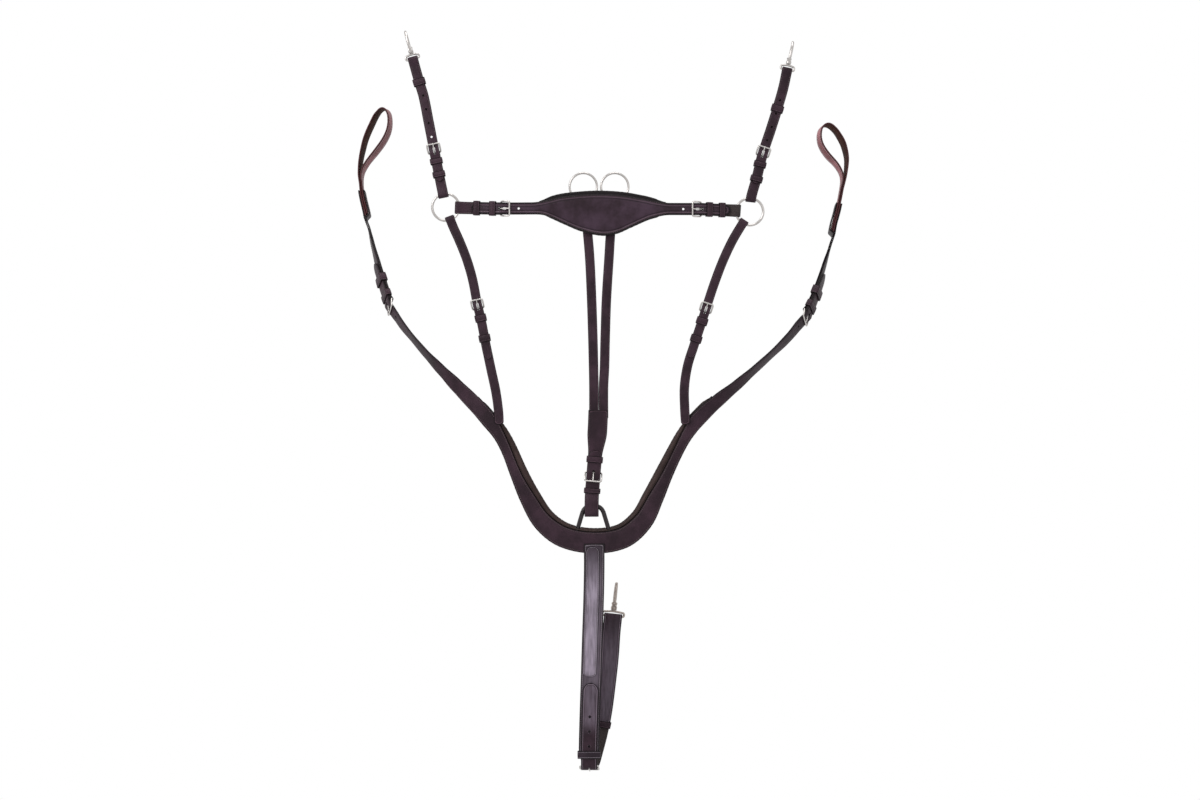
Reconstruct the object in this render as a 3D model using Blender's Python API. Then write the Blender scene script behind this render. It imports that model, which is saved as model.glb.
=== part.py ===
"""Five-point breastplate for a horse: breast collar, wither strap, girth, belly and saddle straps.

Frame: +Z up, +X to the right of someone who faces the breastplate, -Y towards them. The origin
is in the middle of the padded wither bridge, where it lies on the horse's withers.
Lengths below are millimetres and become metres when a mesh is made.
"""
import bisect
from math import atan2, ceil, cos, floor, hypot, pi, radians, sin, sqrt

import bmesh
import bpy
from mathutils import Vector

MM = 0.001
FRONT = (0, -1, 0)

# The whole part
SPAN = 785.0
DEPTH = 154.0
DROP = 1165.0

# Fits
CLEAR = 0.3
FOLD_GAP = 0.3
GRID = 18.0

# Leather
CHAPE_THICK = 2.0
BILLET_THICK = 2.4
FACE_THICK = BILLET_THICK
LINING_THICK = 9.0
KEEPER_THICK = 1.5
KEEPER_SLACK = 1.0

# Strap widths
WITHER_WIDTH = 19.0
SADDLE_WIDTH = 16.0
SHOULDER_WIDTH = 14.5
GIRTH_WIDTH = 24.0
FORK_WIDTH = 14.8
FORK_GAP = 1.0
TAIL_WIDTH = 22.0
BELLY_WIDTH = 32.0
BELLY_RIDGE_WIDTH = 22.0
BELLY_RIDGE_SHIFT = 2.5
BELLY_RIDGE_RISE = 1.6
HOOK_STRAP_WIDTH = 25.0
HOOK_STRAP_TOP = 28.5

# Rings
RING_BORE = 38.0
RING_WIRE = 4.0
MARTINGALE_BORE = 39.0
MARTINGALE_WIRE = 3.6
CHEST_CORE = 4.0
CHEST_SLEEVE = 7.0

# Buckles
BAR_THICK = 2.6
FRAME_REACH = 14.0
FRAME_SLACK = 0.5
TONGUE_THICK = 2.2
BILLET_DIP = 2.2
SLOT_WIDTH = 3.4
HOLE_PITCH = 22.0
HOLE_SIZE = 3.6

# Snap hooks
HOOK_LENGTH = 49.0
BELLY_HOOK_LENGTH = 58.0
EYE_WIRE = 3.2
EYE_RISE = 5.4
EYE_SIDE = 6.0
BARREL_SIZE = 10.0
BARREL_LENGTH = 9.0


for leftover in list(bpy.data.objects):
    bpy.data.objects.remove(leftover)


# Lines, laws and routes
def drawn(place):
    """A place drawn below for a part 785 wide, 154 deep and 1165 high, moved to suit the sizes above."""
    x, y, z = place
    return Vector((x * SPAN / 785.0, y * DEPTH / 154.0, z * DROP / 1165.0))


def arc(centre_u, centre_w, radius, start, end, pieces=6):
    """Points of a round bend, angles in degrees from the along direction."""
    turns = [radians(start + (end - start) * i / pieces) for i in range(pieces + 1)]
    return [(centre_u + radius * cos(a), centre_w + radius * sin(a)) for a in turns]


class Law:
    """A value that runs smoothly through chosen sizes along a length."""

    def __init__(self, *pairs):
        self.pairs = sorted(pairs)
        self.slopes = [0.0] * len(pairs)
        for i in range(1, len(pairs) - 1):
            (u0, a), (u1, b), (u2, c) = self.pairs[i - 1:i + 2]
            if (b - a) * (c - b) > 0:
                self.slopes[i] = (c - a) / (u2 - u0)

    def __call__(self, u):
        pairs = self.pairs
        if u <= pairs[0][0]:
            return pairs[0][1]
        for i, (u1, b) in enumerate(pairs[1:]):
            if u <= u1:
                u0, a = pairs[i]
                wide, t = u1 - u0, (u - u0) / (u1 - u0)
                bend = self.slopes[i] * (1 - t) * (1 - t) * t - self.slopes[i + 1] * t * t * (1 - t)
                return a + (b - a) * t * t * (3 - 2 * t) + bend * wide
        return pairs[-1][1]


class Route:
    """A smooth line through chosen points, with the leather's outward side given at each."""

    def __init__(self, knots, outward, steps=16):
        knots = [drawn(k) for k in knots]
        outward = [Vector(o).normalized() for o in outward]
        chords = [(b - a).length for a, b in zip(knots, knots[1:])]
        slopes = []
        for i in range(len(knots)):
            lo, hi = max(i - 1, 0), min(i + 1, len(knots) - 1)
            slopes.append((knots[hi] - knots[lo]) / sum(chords[lo:hi]))
        self.places, self.outs, self.marks = [knots[0]], [outward[0]], [0.0]
        self.knot_marks = [0.0]
        for i, chord in enumerate(chords):
            for step in range(1, steps + 1):
                t = step / steps
                place = ((1 + 2 * t) * (1 - t) ** 2 * knots[i] + t * (1 - t) ** 2 * chord * slopes[i]
                         + t * t * (3 - 2 * t) * knots[i + 1] + t * t * (t - 1) * chord * slopes[i + 1])
                self.marks.append(self.marks[-1] + (place - self.places[-1]).length)
                self.places.append(place)
                self.outs.append(outward[i].lerp(outward[i + 1], t * t * (3 - 2 * t)))
            self.knot_marks.append(self.marks[-1])
        self.length = self.marks[-1]

    def spot(self, u):
        """Place and outward side at a length u, also a little past the ends."""
        if u <= 0:
            way = (self.places[1] - self.places[0]).normalized()
            return self.places[0] + way * u, self.outs[0]
        if u >= self.length:
            way = (self.places[-1] - self.places[-2]).normalized()
            return self.places[-1] + way * (u - self.length), self.outs[-1]
        i = min(bisect.bisect_right(self.marks, u), len(self.marks) - 1)
        t = (u - self.marks[i - 1]) / (self.marks[i] - self.marks[i - 1])
        return self.places[i - 1].lerp(self.places[i], t), self.outs[i - 1].lerp(self.outs[i], t)

    def axes(self, u):
        """Place, along, across and outward directions at a length u."""
        place, out = self.spot(u)
        along = (self.spot(u + 3.0)[0] - self.spot(u - 3.0)[0]).normalized()
        out = (out - along * out.dot(along)).normalized()
        return place, along, out.cross(along), out

    def at(self, u, b=0.0, w=0.0):
        """The place at u along, b across and w outward."""
        place, _, across, out = self.axes(u)
        return place + across * b + out * w

    def nearest(self, place):
        """The length at which the route passes closest to a drawn place."""
        return self.closest(drawn(place))

    def closest(self, place):
        """The length at which the route passes closest to a place."""
        best = min(range(len(self.places)), key=lambda i: (self.places[i] - place).length)
        return self.marks[best]


# Meshes
def loft(rings, closed=False):
    """A skin through rings of points, closed with a face at each end or run round on itself."""
    mesh = bmesh.new()
    loops = [[mesh.verts.new(Vector(p) * MM) for p in ring] for ring in rings]
    pairs = list(zip(loops, loops[1:]))
    if closed:
        pairs.append((loops[-1], loops[0]))
    for near, far in pairs:
        for i in range(len(near)):
            mesh.faces.new((near[i - 1], near[i], far[i], far[i - 1]))
    if not closed:
        mesh.faces.new(loops[0])
        mesh.faces.new(reversed(loops[-1]))
    bmesh.ops.recalc_face_normals(mesh, faces=mesh.faces)
    return mesh


def finish(name, colour, roughness, metallic=0.0):
    """A material with one colour, roughness and metallic value."""
    material = bpy.data.materials.new(name)
    material.use_nodes = True
    shader = material.node_tree.nodes["Principled BSDF"]
    shader.inputs["Base Color"].default_value = (*colour, 1.0)
    shader.inputs["Roughness"].default_value = roughness
    shader.inputs["Metallic"].default_value = metallic
    return material


def piece(name, mesh, material, pivot=(0, 0, 0), smooth=35):
    """An object from a mesh, with its origin on a pivot and its round faces shaded smooth."""
    pivot = Vector(pivot) * MM
    bmesh.ops.translate(mesh, verts=mesh.verts, vec=-pivot)
    data = bpy.data.meshes.new(name)
    mesh.to_mesh(data)
    mesh.free()
    data.shade_smooth()
    data.set_sharp_from_angle(angle=radians(smooth))
    obj = bpy.data.objects.new(name, data)
    obj.location = pivot
    bpy.context.collection.objects.link(obj)
    data.materials.append(material)
    return obj


def tool(name, mesh):
    """A guide shape that cuts or joins another piece and is not a piece itself."""
    obj = piece(name, mesh, LEATHER)
    obj.hide_render = True
    obj.display_type = "WIRE"
    return obj


def shape_with(obj, mesh, operation):
    """Cut a mesh out of a piece, or join it on."""
    helper = tool(f"{obj.name}_{operation.lower()}_{len(obj.modifiers)}", mesh)
    step = obj.modifiers.new(helper.name, "BOOLEAN")
    step.operation = operation
    step.solver = "EXACT"
    step.object = helper


def along_line(line, step, extra=()):
    """Stations (travel, u, w, tangent) at a line's own points and at each step of the shared grid."""
    travel = [0.0]
    for (u0, w0), (u1, w1) in zip(line, line[1:]):
        travel.append(travel[-1] + hypot(u1 - u0, w1 - w0))
    wanted = list(extra)
    for near, far, (u0, _), (u1, _) in zip(travel, travel[1:], line, line[1:]):
        wanted.append(near)
        if u0 != u1:
            first, last = ceil(min(u0, u1) / step), floor(max(u0, u1) / step)
            wanted += [near + (far - near) * (k * step - u0) / (u1 - u0) for k in range(first, last + 1)]
    wanted = sorted(w for w in wanted + [travel[-1]] if 0 <= w <= travel[-1])
    kept = [wanted[0]]
    for value in wanted[1:-1]:
        if value - kept[-1] > 0.35 and travel[-1] - value > 0.35:
            kept.append(value)
    kept.append(travel[-1])

    def point(d):
        i = min(max(bisect.bisect_right(travel, d), 1), len(travel) - 1)
        t = (d - travel[i - 1]) / (travel[i] - travel[i - 1])
        return tuple(a + (b - a) * t for a, b in zip(line[i - 1], line[i]))

    stations = []
    for d in kept:
        before, after = point(max(d - 0.4, 0.0)), point(min(d + 0.4, travel[-1]))
        reach = hypot(after[0] - before[0], after[1] - before[1])
        stations.append((d, *point(d), ((after[0] - before[0]) / reach, (after[1] - before[1]) / reach)))
    return stations, travel[-1]


def band(route, line, edges, thick, start_tip=0.0, end_tip=0.0, step=GRID):
    """A strap of leather whose side view is a line of (u, w) points laid along a route.

    edges is a width, or a function of u that gives the low and high edge across.
    A tip length rounds that end of the strap.
    """
    tips = [0.02, 0.12, 0.3, 0.6, 1.0]
    length = along_line(line, step)[1]
    extra = [start_tip * t for t in tips if start_tip] + [length - end_tip * t for t in tips if end_tip]
    stations, length = along_line(line, step, extra)
    rings = []
    for d, u, w, (tu, tw) in stations:
        low, high = edges(u) if callable(edges) else (-edges / 2, edges / 2)
        share = 1.0
        for tip, room in ((start_tip, d), (end_tip, length - d)):
            if tip and room < tip:
                share = min(share, max(0.18, sqrt(max(0.0, 1 - (1 - room / tip) ** 2))))
        middle, half = (low + high) / 2, (high - low) / 2 * share
        side = thick / 2
        inner, outer = (u + tw * side, w - tu * side), (u - tw * side, w + tu * side)
        rings.append([route.at(outer[0], middle + half, outer[1]), route.at(outer[0], middle - half, outer[1]),
                      route.at(inner[0], middle - half, inner[1]), route.at(inner[0], middle + half, inner[1])])
    return loft(rings)


def circles(path, radii, sides, closed, out):
    """Rings of points round a path, square to it and kept from twisting."""
    rings, side = [], None
    for i, place in enumerate(path):
        before = path[i - 1] if closed or i else path[0]
        after = path[(i + 1) % len(path)] if closed or i < len(path) - 1 else path[-1]
        way = (after - before).normalized()
        if side is None:
            side = Vector(out) if out else way.orthogonal()
        side = (side - way * side.dot(way)).normalized()
        other = way.cross(side)
        turns = [2 * pi * (k + 0.5) / sides for k in range(sides)]
        rings.append([place + (side * cos(a) + other * sin(a)) * radii[i] for a in turns])
    return rings


def wire(path, radius, sides=8, closed=False, out=None):
    """A round bar along a path of points. radius may be a list, one value for each point."""
    path = [Vector(p) for p in path]
    radii = radius if isinstance(radius, list) else [radius] * len(path)
    return loft(circles(path, radii, sides, closed, out), closed)


def pipe(path, inner, outer, sides=8):
    """An open-ended tube along a path of points."""
    mesh = bmesh.new()
    walls = []
    for radius in (outer, inner):
        rings = circles(path, [radius] * len(path), sides, False, FRONT)
        loops = [[mesh.verts.new(Vector(p) * MM) for p in ring] for ring in rings]
        for near, far in zip(loops, loops[1:]):
            for i in range(sides):
                mesh.faces.new((near[i - 1], near[i], far[i], far[i - 1]))
        walls.append(loops)
    for end in (0, -1):
        for i in range(sides):
            mesh.faces.new((walls[0][end][i - 1], walls[0][end][i], walls[1][end][i], walls[1][end][i - 1]))
    bmesh.ops.recalc_face_normals(mesh, faces=mesh.faces)
    return mesh


def block(route, u_span, b_span, w_span, parts=1):
    """A box laid along a route, for slots and pockets."""
    rings = []
    for i in range(parts + 1):
        u = u_span[0] + (u_span[1] - u_span[0]) * i / parts
        rings.append([route.at(u, b, w) for b, w in ((b_span[1], w_span[1]), (b_span[0], w_span[1]),
                                                     (b_span[0], w_span[0]), (b_span[1], w_span[0]))])
    return loft(rings)


def peg(route, u, w_span, size, sides=8):
    """A round bar square to the strap, for punched holes."""
    place, along, across, out = route.axes(u)
    turns = [2 * pi * k / sides for k in range(sides)]
    return loft([[place + out * w + (along * cos(a) + across * sin(a)) * size / 2 for a in turns] for w in w_span])


def keeper(route, u, length, width, w_span, thick=KEEPER_THICK):
    """A leather loop round a strap, its opening w_span high and width wide."""
    ends = (u - length / 2, u + length / 2)
    low, high = w_span
    half = width / 2
    rings = []
    for b, w in ((half, high), (-half, high), (-half, low), (half, low)):
        outer = (b + (thick if b > 0 else -thick), w + (thick if w == high else -thick))
        rings.append([route.at(ends[0], b, w), route.at(ends[1], b, w), route.at(ends[1], *outer), route.at(ends[0], *outer)])
    return loft(rings, closed=True)


def rounded(corners, bends, pieces=3):
    """A closed path with each corner of a polygon turned into a bend, of one reach or of one for each corner."""
    corners = [Vector(c) for c in corners]
    bends = bends if isinstance(bends, tuple) else (bends,) * len(corners)
    path = []
    for i, corner in enumerate(corners):
        before, after = (corners[i - 1] - corner), (corners[(i + 1) % len(corners)] - corner)
        start, end = corner + before.normalized() * bends[i], corner + after.normalized() * bends[i]
        for k in range(pieces + 1):
            t = k / pieces
            path.append((1 - t) ** 2 * start + 2 * t * (1 - t) * corner + t * t * end)
    return path


# Finishes
LEATHER = finish("havana_leather", (0.042, 0.027, 0.032), 0.42)
LINING = finish("padded_lining", (0.030, 0.020, 0.022), 0.62)
BROWN = finish("brown_loop_leather", (0.085, 0.035, 0.028), 0.48)
STEEL = finish("bright_steel", (0.78, 0.77, 0.74), 0.22, 1.0)


# Rings, folds and buckles
class Ring:
    """A round ring in the plane of the straps that meet on it."""

    def __init__(self, name, centre, bore, wire_thick, normal=FRONT, sides=6, pieces=24):
        self.centre, self.normal = drawn(centre), Vector(normal).normalized()
        self.half_wire = wire_thick / 2
        self.radius = bore / 2 + self.half_wire
        across = self.normal.orthogonal().normalized()
        other = self.normal.cross(across)
        turns = [2 * pi * k / pieces for k in range(pieces)]
        path = [self.centre + (across * cos(a) + other * sin(a)) * self.radius for a in turns]
        self.obj = piece(name, wire(path, self.half_wire, sides, closed=True, out=self.normal),
                         STEEL, pivot=self.centre)

    def sink(self, width):
        """How far a straight fold must sit inside the ring to clear its curve over a strap's width."""
        return self.radius - sqrt(self.radius ** 2 - (width / 2) ** 2) + 2 * CLEAR


def fold_line(cross_u, way, half_bar, thick, layer, sink=0.0, lift=0.0, near=None, far=None, slack=0.0):
    """Side view of a strap turned round a bar at cross_u, running off towards way.

    near and far are the lengths of the outer and the hidden layer, measured from the bar.
    """
    turn = half_bar + CLEAR + thick / 2
    neck = turn + 7.0 + slack
    points = [(neck, layer), (1.0 + slack, turn)] + arc(-sink, 0.0, turn, 90, 270, 6) + [(1.0 + slack, -turn), (neck, -layer)]
    if near:
        points.insert(0, (near, layer))
    if far:
        points.append((far, -layer))
    return [(cross_u + way * v, lift + h) for v, h in points]


class Buckle:
    """A single-bar buckle. The chape folds round the heel bar and the billet runs under the far bar.

    Heights are measured from the middle of the folded chape, which lies lift above the route.
    way is +1 where the billet comes from further along the route, and -1 where it comes from before.
    """

    layer = (CHAPE_THICK + FOLD_GAP) / 2
    bar = BAR_THICK / 2
    turn = bar + CLEAR + CHAPE_THICK / 2
    neck = turn + 3.2
    over = layer + CHAPE_THICK / 2 + CLEAR + BILLET_THICK / 2
    crest = turn + CHAPE_THICK / 2 + CLEAR + BILLET_THICK / 2
    far_height = BILLET_DIP + BILLET_THICK / 2 + CLEAR + bar

    def __init__(self, name, route, heel, way, width, lift=0.0):
        self.name, self.route, self.heel, self.way, self.width, self.lift = name, route, heel, way, width, lift
        self.half_span = width / 2 + FRAME_SLACK + self.bar
        self.add_frame()
        self.add_tongue()

    def put(self, points):
        return [(self.heel + self.way * v, self.lift + h) for v, h in points]

    def place(self, v, b, h):
        return self.route.at(self.heel + self.way * v, b, self.lift + h)

    def add_frame(self):
        reach, side, high = FRAME_REACH, self.half_span, self.far_height
        corners = rounded([self.place(*p) for p in ((0, -side, 0), (0, side, 0), (reach, side, high), (reach, -side, high))],
                          2.4, 2)
        sides = [self.place(reach * 0.5, b, high * 0.62) for b in (side, -side)]
        path = corners[:6] + sides[:1] + corners[6:] + sides[1:]
        piece(f"{self.name}_frame", wire(path, self.bar, 6, closed=True), STEEL)

    def add_tongue(self):
        thin = TONGUE_THICK / 2
        curl = self.bar + CLEAR + thin
        lean = atan2(self.far_height, FRAME_REACH)
        off = (curl * cos(lean + pi / 2), curl * sin(lean + pi / 2))
        tip = (FRAME_REACH + 1.8 * cos(lean) + off[0], self.far_height + 1.8 * sin(lean) + off[1])
        points = [tip, ((tip[0] + off[0]) / 2, (tip[1] + off[1]) / 2)]
        points += [(curl * cos(a), curl * sin(a)) for a in (lean + pi / 2 + radians(230) * k / 6 for k in range(7))]
        path = [self.place(v, 0.0, h) for v, h in points]
        radii = [thin * 0.75] + [thin] * 8
        across = self.route.axes(self.heel)[2]
        piece(f"{self.name}_tongue", wire(path, radii, 6, out=across), STEEL, pivot=self.place(0, 0, 0))

    def heel_line(self, near=None, far=None):
        """The chape's turn round the heel bar, from its outer layer to its hidden one."""
        points = [(-self.neck, self.layer)] + arc(0, 0, self.turn, 90, -90, 6) + [(-self.neck, -self.layer)]
        if near:
            points.insert(0, (-near, self.layer))
        if far:
            points.append((-far, -self.layer))
        return self.put(points)

    def billet_line(self, tip, rise=0.0):
        """The billet from its tip, over the chape and the heel bar, to just past the far bar."""
        return self.put([(-tip, self.over + rise), (-tip + 20, self.over + rise / 4), (-self.neck - 0.6, self.over), (-0.8, self.crest), (1.0, self.crest),
                         (FRAME_REACH, BILLET_DIP), (FRAME_REACH + 3.0, BILLET_DIP - 0.6)])

    def span(self, v0, v1):
        return sorted((self.heel + self.way * v0, self.heel + self.way * v1))

    def cut_chape(self, obj):
        """The slot that lets the tongue turn on the heel bar."""
        shape_with(obj, block(self.route, self.span(-self.neck, self.turn + 3), (-SLOT_WIDTH / 2, SLOT_WIDTH / 2),
                              (self.lift - self.turn - 3, self.lift + self.turn + 1.2), 4), "DIFFERENCE")

    def cut_billet(self, obj, spare=(), deep=-6.0):
        """The hole that the tongue passes, and spare holes at lengths beyond it, cut down to a depth."""
        half = SLOT_WIDTH / 2
        shape_with(obj, block(self.route, self.span(-2.8, 8.8), (-half, half), (self.lift + 0.4, self.lift + 9.0), 3),
                   "DIFFERENCE")
        for v in spare:
            hole = peg(self.route, self.heel + self.way * v, (self.lift + deep, self.lift + 8.0), HOLE_SIZE)
            shape_with(obj, hole, "DIFFERENCE")

    def keeper_span(self, fixed):
        """Height of a keeper's opening. A fixed one is sewn into the chape's hidden layer."""
        under, top = self.layer + CHAPE_THICK / 2, self.over + BILLET_THICK / 2 + CLEAR
        if fixed:
            return self.lift + 0.5 - under, self.lift + top
        return self.lift - under - CLEAR - KEEPER_SLACK / 2, self.lift + top + KEEPER_SLACK

    def add_fixed_keeper(self, obj, v, length):
        ring = keeper(self.route, self.heel - self.way * v, length, self.width + 2 * CLEAR, self.keeper_span(True))
        shape_with(obj, ring, "UNION")


# Snap hooks
def bored(origin, axis, side, bore, outer, low, high, sides=12):
    """A tube round an axis."""
    other = axis.cross(side)
    rings = []
    for k in range(sides):
        a = 2 * pi * k / sides
        way = side * cos(a) + other * sin(a)
        rings.append([origin + way * r + axis * z for r, z in ((bore, low), (outer, low), (outer, high), (bore, high))])
    return loft(rings, closed=True)


def snap_hook(name, route, u_end, way, width, length):
    """A trigger snap hook: an eye for the strap, a swivelling hook body and a sprung gate."""
    origin, along, across, out = route.axes(u_end)
    up = along * way
    size = length / 60.0
    half_eye = width / 2 + 1.0 + EYE_WIRE / 2

    def eye_point(b, z):
        return origin + across * b + up * z

    def side_point(x, z, b=0.0):
        return origin + out * x * size + up * z * size + across * b * size

    neck = (EYE_RISE + 2.0 + EYE_WIRE / 2 + CLEAR) / size
    eye_path = rounded([eye_point(-half_eye, 0), eye_point(half_eye, 0), eye_point(half_eye, EYE_SIDE),
                        eye_point(3.2, EYE_RISE + 2), eye_point(-3.2, EYE_RISE + 2), eye_point(-half_eye, EYE_SIDE)],
                       2.4, 2)
    eye = piece(f"{name}_eye", wire(eye_path, EYE_WIRE / 2, 6, closed=True), STEEL, pivot=origin)
    barrel_top = neck + BARREL_LENGTH * 0.75
    post_path = [eye_point(0, EYE_RISE + 1.2), side_point(0, barrel_top + 0.5), side_point(0, barrel_top + 0.6),
                 side_point(0, barrel_top + 2.0)]
    shape_with(eye, wire(post_path, [1.5 * size, 1.5 * size, 2.7 * size, 2.4 * size], 10, out=across), "UNION")

    barrel = bored(origin, up, across, 1.9 * size, BARREL_SIZE / 2 * size, neck * size, barrel_top * size)
    body = piece(f"{name}_body", barrel, STEEL, pivot=origin)
    lift = barrel_top - 20.0
    spine = [(3.5, 15.5, 1.6), (5.6, 20, 2.3), (7.2, 27, 2.9), (7.6, 36, 3.0), (6.3, 46, 2.9), (2.6, 54, 2.6),
             (-2.0, 56.5, 2.4), (-5.4, 53, 2.1), (-6.8, 47.5, 1.8), (-6.9, 43.6, 1.6)]
    shape_with(body, wire([side_point(x, z + lift) for x, z, _ in spine], [r * size for *_, r in spine], 8, out=across),
               "UNION")
    pivot = (-5.6, 24.6 + lift)
    lug = [(-3.2, 15), (-4.6, 15), (-7.3, 23.4), (-7.3, 26.2), (-4.2, 26.2), (-3.6, 20.4)]
    for b in (2.2, -3.9):
        ears = loft([[side_point(x, z + lift, b0) for x, z in lug] for b0 in (b, b + 1.7)])
        shape_with(body, ears, "UNION")
    pin_hole = wire([side_point(*pivot, b) for b in (-5.0, 5.0)], 1.25 * size, 10, out=out)
    shape_with(body, pin_hole, "DIFFERENCE")

    lever = [side_point(-5.6, 24.0 + lift), side_point(-7.0, 33 + lift), side_point(-6.8, 43.1 + lift)]
    gate = piece(f"{name}_gate", wire(lever, [1.8 * size, 1.6 * size, 1.3 * size], 6, out=across), STEEL,
                 pivot=side_point(*pivot))
    shape_with(gate, wire([side_point(*pivot, b) for b in (-4.1, 4.1)], 0.9 * size, 8, out=out), "UNION")
    return eye


# Where the straps run
WITHER = Route([(-240, 14, 10), (-226, 14, 9.5), (-214, 14, 9), (-185, 10.5, 8), (-154, 5, 7), (-91, 1, 7), (-46, 0, 5),
                (0, 0, 4), (54, 0, 4), (99, 1, 6), (157, 5, 6), (178, 9.5, 5.5), (207, 14, 4.8), (219, 14, 4.2), (233, 14, 3)],
               [FRONT] * 15)
LEFT_RING = (-240, 14, 10)
RIGHT_RING = (233, 14, 3)
SADDLE = {
    "left": Route([LEFT_RING, (-245, 14, 34), (-252, 16, 68), (-259, 18, 103), (-267, 20, 143), (-275, 22, 183),
                   (-282, 23, 206), (-292, 24, 242)], [FRONT] * 8),
    "right": Route([RIGHT_RING, (235, 14, 24), (244, 16, 56), (253, 18, 92), (266, 20, 131), (278, 22, 169),
                    (286, 23, 197), (292, 24, 225)], [FRONT] * 8),
}
SHOULDER = {
    "left": Route([LEFT_RING, (-230, 14, -17), (-218, 13, -44), (-207, 12, -72), (-198, 11, -103), (-191, 10, -139),
                   (-184, 9, -169), (-177, 7, -205), (-169, 5.5, -243), (-161.5, 5.0, -278), (-157.3, 4.6, -309), (-156.5, 4.2, -328)],
                  [FRONT] * 12),
    "right": Route([(233.6, 14, 2.4), (219, 14, -20), (205, 13, -44), (191, 12, -74), (178, 11, -108), (166, 10, -144),
                    (158, 9, -169), (146, 7, -205), (136, 5.7, -237), (131, 4.8, -271), (131.5, 4.0, -306), (133, 3.5, -328)],
                   [FRONT] * 12),
}
COLLAR_KNOTS = [
    (-384, 123, 72), (-383, 121, 53), (-381, 120, 37), (-375, 118, 11), (-371, 115, -8), (-363, 108, -42),
    (-352, 97, -80), (-340, 82, -116), (-329, 67, -143), (-315, 54, -167), (-294, 42, -193), (-272, 32, -218), (-248, 24, -243),
    (-223, 17, -268), (-198, 11, -293), (-173, 7, -320), (-155, 5, -343), (-142, 3, -368), (-127, 2, -405),
    (-110, 1, -442), (-88, 0, -478), (-56, 0, -502), (-9, 0, -511), (36, 0, -503), (66, 0, -477), (84, 1, -442),
    (101, 2, -405), (119, 3, -368), (133, 5, -343), (151, 7, -321), (181, 13, -293), (212, 20, -268),
    (241, 28, -243), (269, 37, -218), (295, 48, -193), (312, 58, -173), (329, 71, -148), (344, 85, -115),
    (356, 98, -80), (368, 108, -42), (374, 115, -11), (380, 118, 11), (387, 121, 44),
    (391, 123, 69)]
LEFT_TURN = [(-1, 0.12, 0)] + [(-1, 0, 0)] * 4 + [(-0.98, -0.15, 0), (-0.94, -0.32, -0.1), (-0.88, -0.44, -0.16), (-0.87, -0.44, -0.2),
                                (-0.86, -0.4, -0.3), (-0.78, -0.38, -0.5), (-0.68, -0.48, -0.58), (-0.55, -0.65, -0.5),
                                (-0.36, -0.87, -0.32), (-0.13, -0.98, -0.11)]
RIGHT_TURN = [(-x, y, z) for x, y, z in reversed(LEFT_TURN)]
COLLAR = Route(COLLAR_KNOTS, LEFT_TURN + [FRONT] * (len(COLLAR_KNOTS) - 2 * len(LEFT_TURN)) + RIGHT_TURN)
LOOP = {
    "left": Route([(-363, 108, -42), (-371, 115, -8), (-375, 118, 11), (-381, 120, 37), (-383, 121, 53),
                   (-384, 123, 72), (-379, 125, 92), (-367, 127, 118), (-354, 129, 145), (-348.5, 131, 166),
                   (-346.5, 131, 178)], [(-1, 0, 0)] * 5 + [(-1, 0.09, 0), (-1, 0.14, 0)] + [(-1, 0.18, 0)] * 4),
    "right": Route([(368, 108, -42), (374, 115, -11), (380, 118, 11), (387, 121, 44), (391, 123, 69), (387, 125, 92),
                    (377, 127, 113), (369.5, 128, 127), (365, 129, 141), (363, 130, 152)],
                   [(1, 0, 0)] * 4 + [(1, 0.09, 0), (1, 0.14, 0)] + [(1, 0.18, 0)] * 4),
}
MARTINGALE = Route([(-2, 12, -280), (-4, 11, -337), (-8, 10, -380), (-11, 8, -416), (-12.6, 5.8, -438),
                    (-13, 5.6, -455), (-13, 5.6, -480)], [FRONT] * 7)
BRANCH = {
    "left": Route([(-9.5, 12, -318), (-9.5, 12, -270), (-10, 12, -240), (-11, 12, -197), (-13, 13, -134), (-16, 14, -69),
                   (-20, 15, -22), (-26, 16, 42)], [FRONT] * 8),
    "right": Route([(5.5, 12, -318), (5.5, 12, -270), (7, 12, -240), (8, 12, -197), (10, 13, -134), (14, 14, -69),
                    (17, 15, -22), (23, 16, 42)], [FRONT] * 8),
}
BELLY_KNOTS = [(-9, 0, -509), (-9, 0, -554), (-10, 0, -603), (-12, 0, -662), (-14, 0, -727), (-16, 0, -789),
               (-17, 0, -831), (-17, 0, -848)]
REAR_KNOTS = [(-17, 4, -857), (-16.5, 13, -860), (-15, 24, -860), (-12, 34, -855), (-8, 38, -842), (0, 38, -811),
              (7, 37, -775), (12, 35, -730), (15.5, 33, -690), (17.7, 32, -655), (20.5, 32, -628)]
BELLY = Route(BELLY_KNOTS + REAR_KNOTS,
              [FRONT] * 8 + [(0, -1, -1), (0, 0, -1), (0, 0.1, -1), (0, 1, -0.8)] + [(0, 1, 0)] * 7)

BILLET_LAYER = (BILLET_THICK + FOLD_GAP) / 2
LAYER = Buckle.layer


END_DROP = 1.8
END_DROP_LENGTH = 110.0


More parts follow.
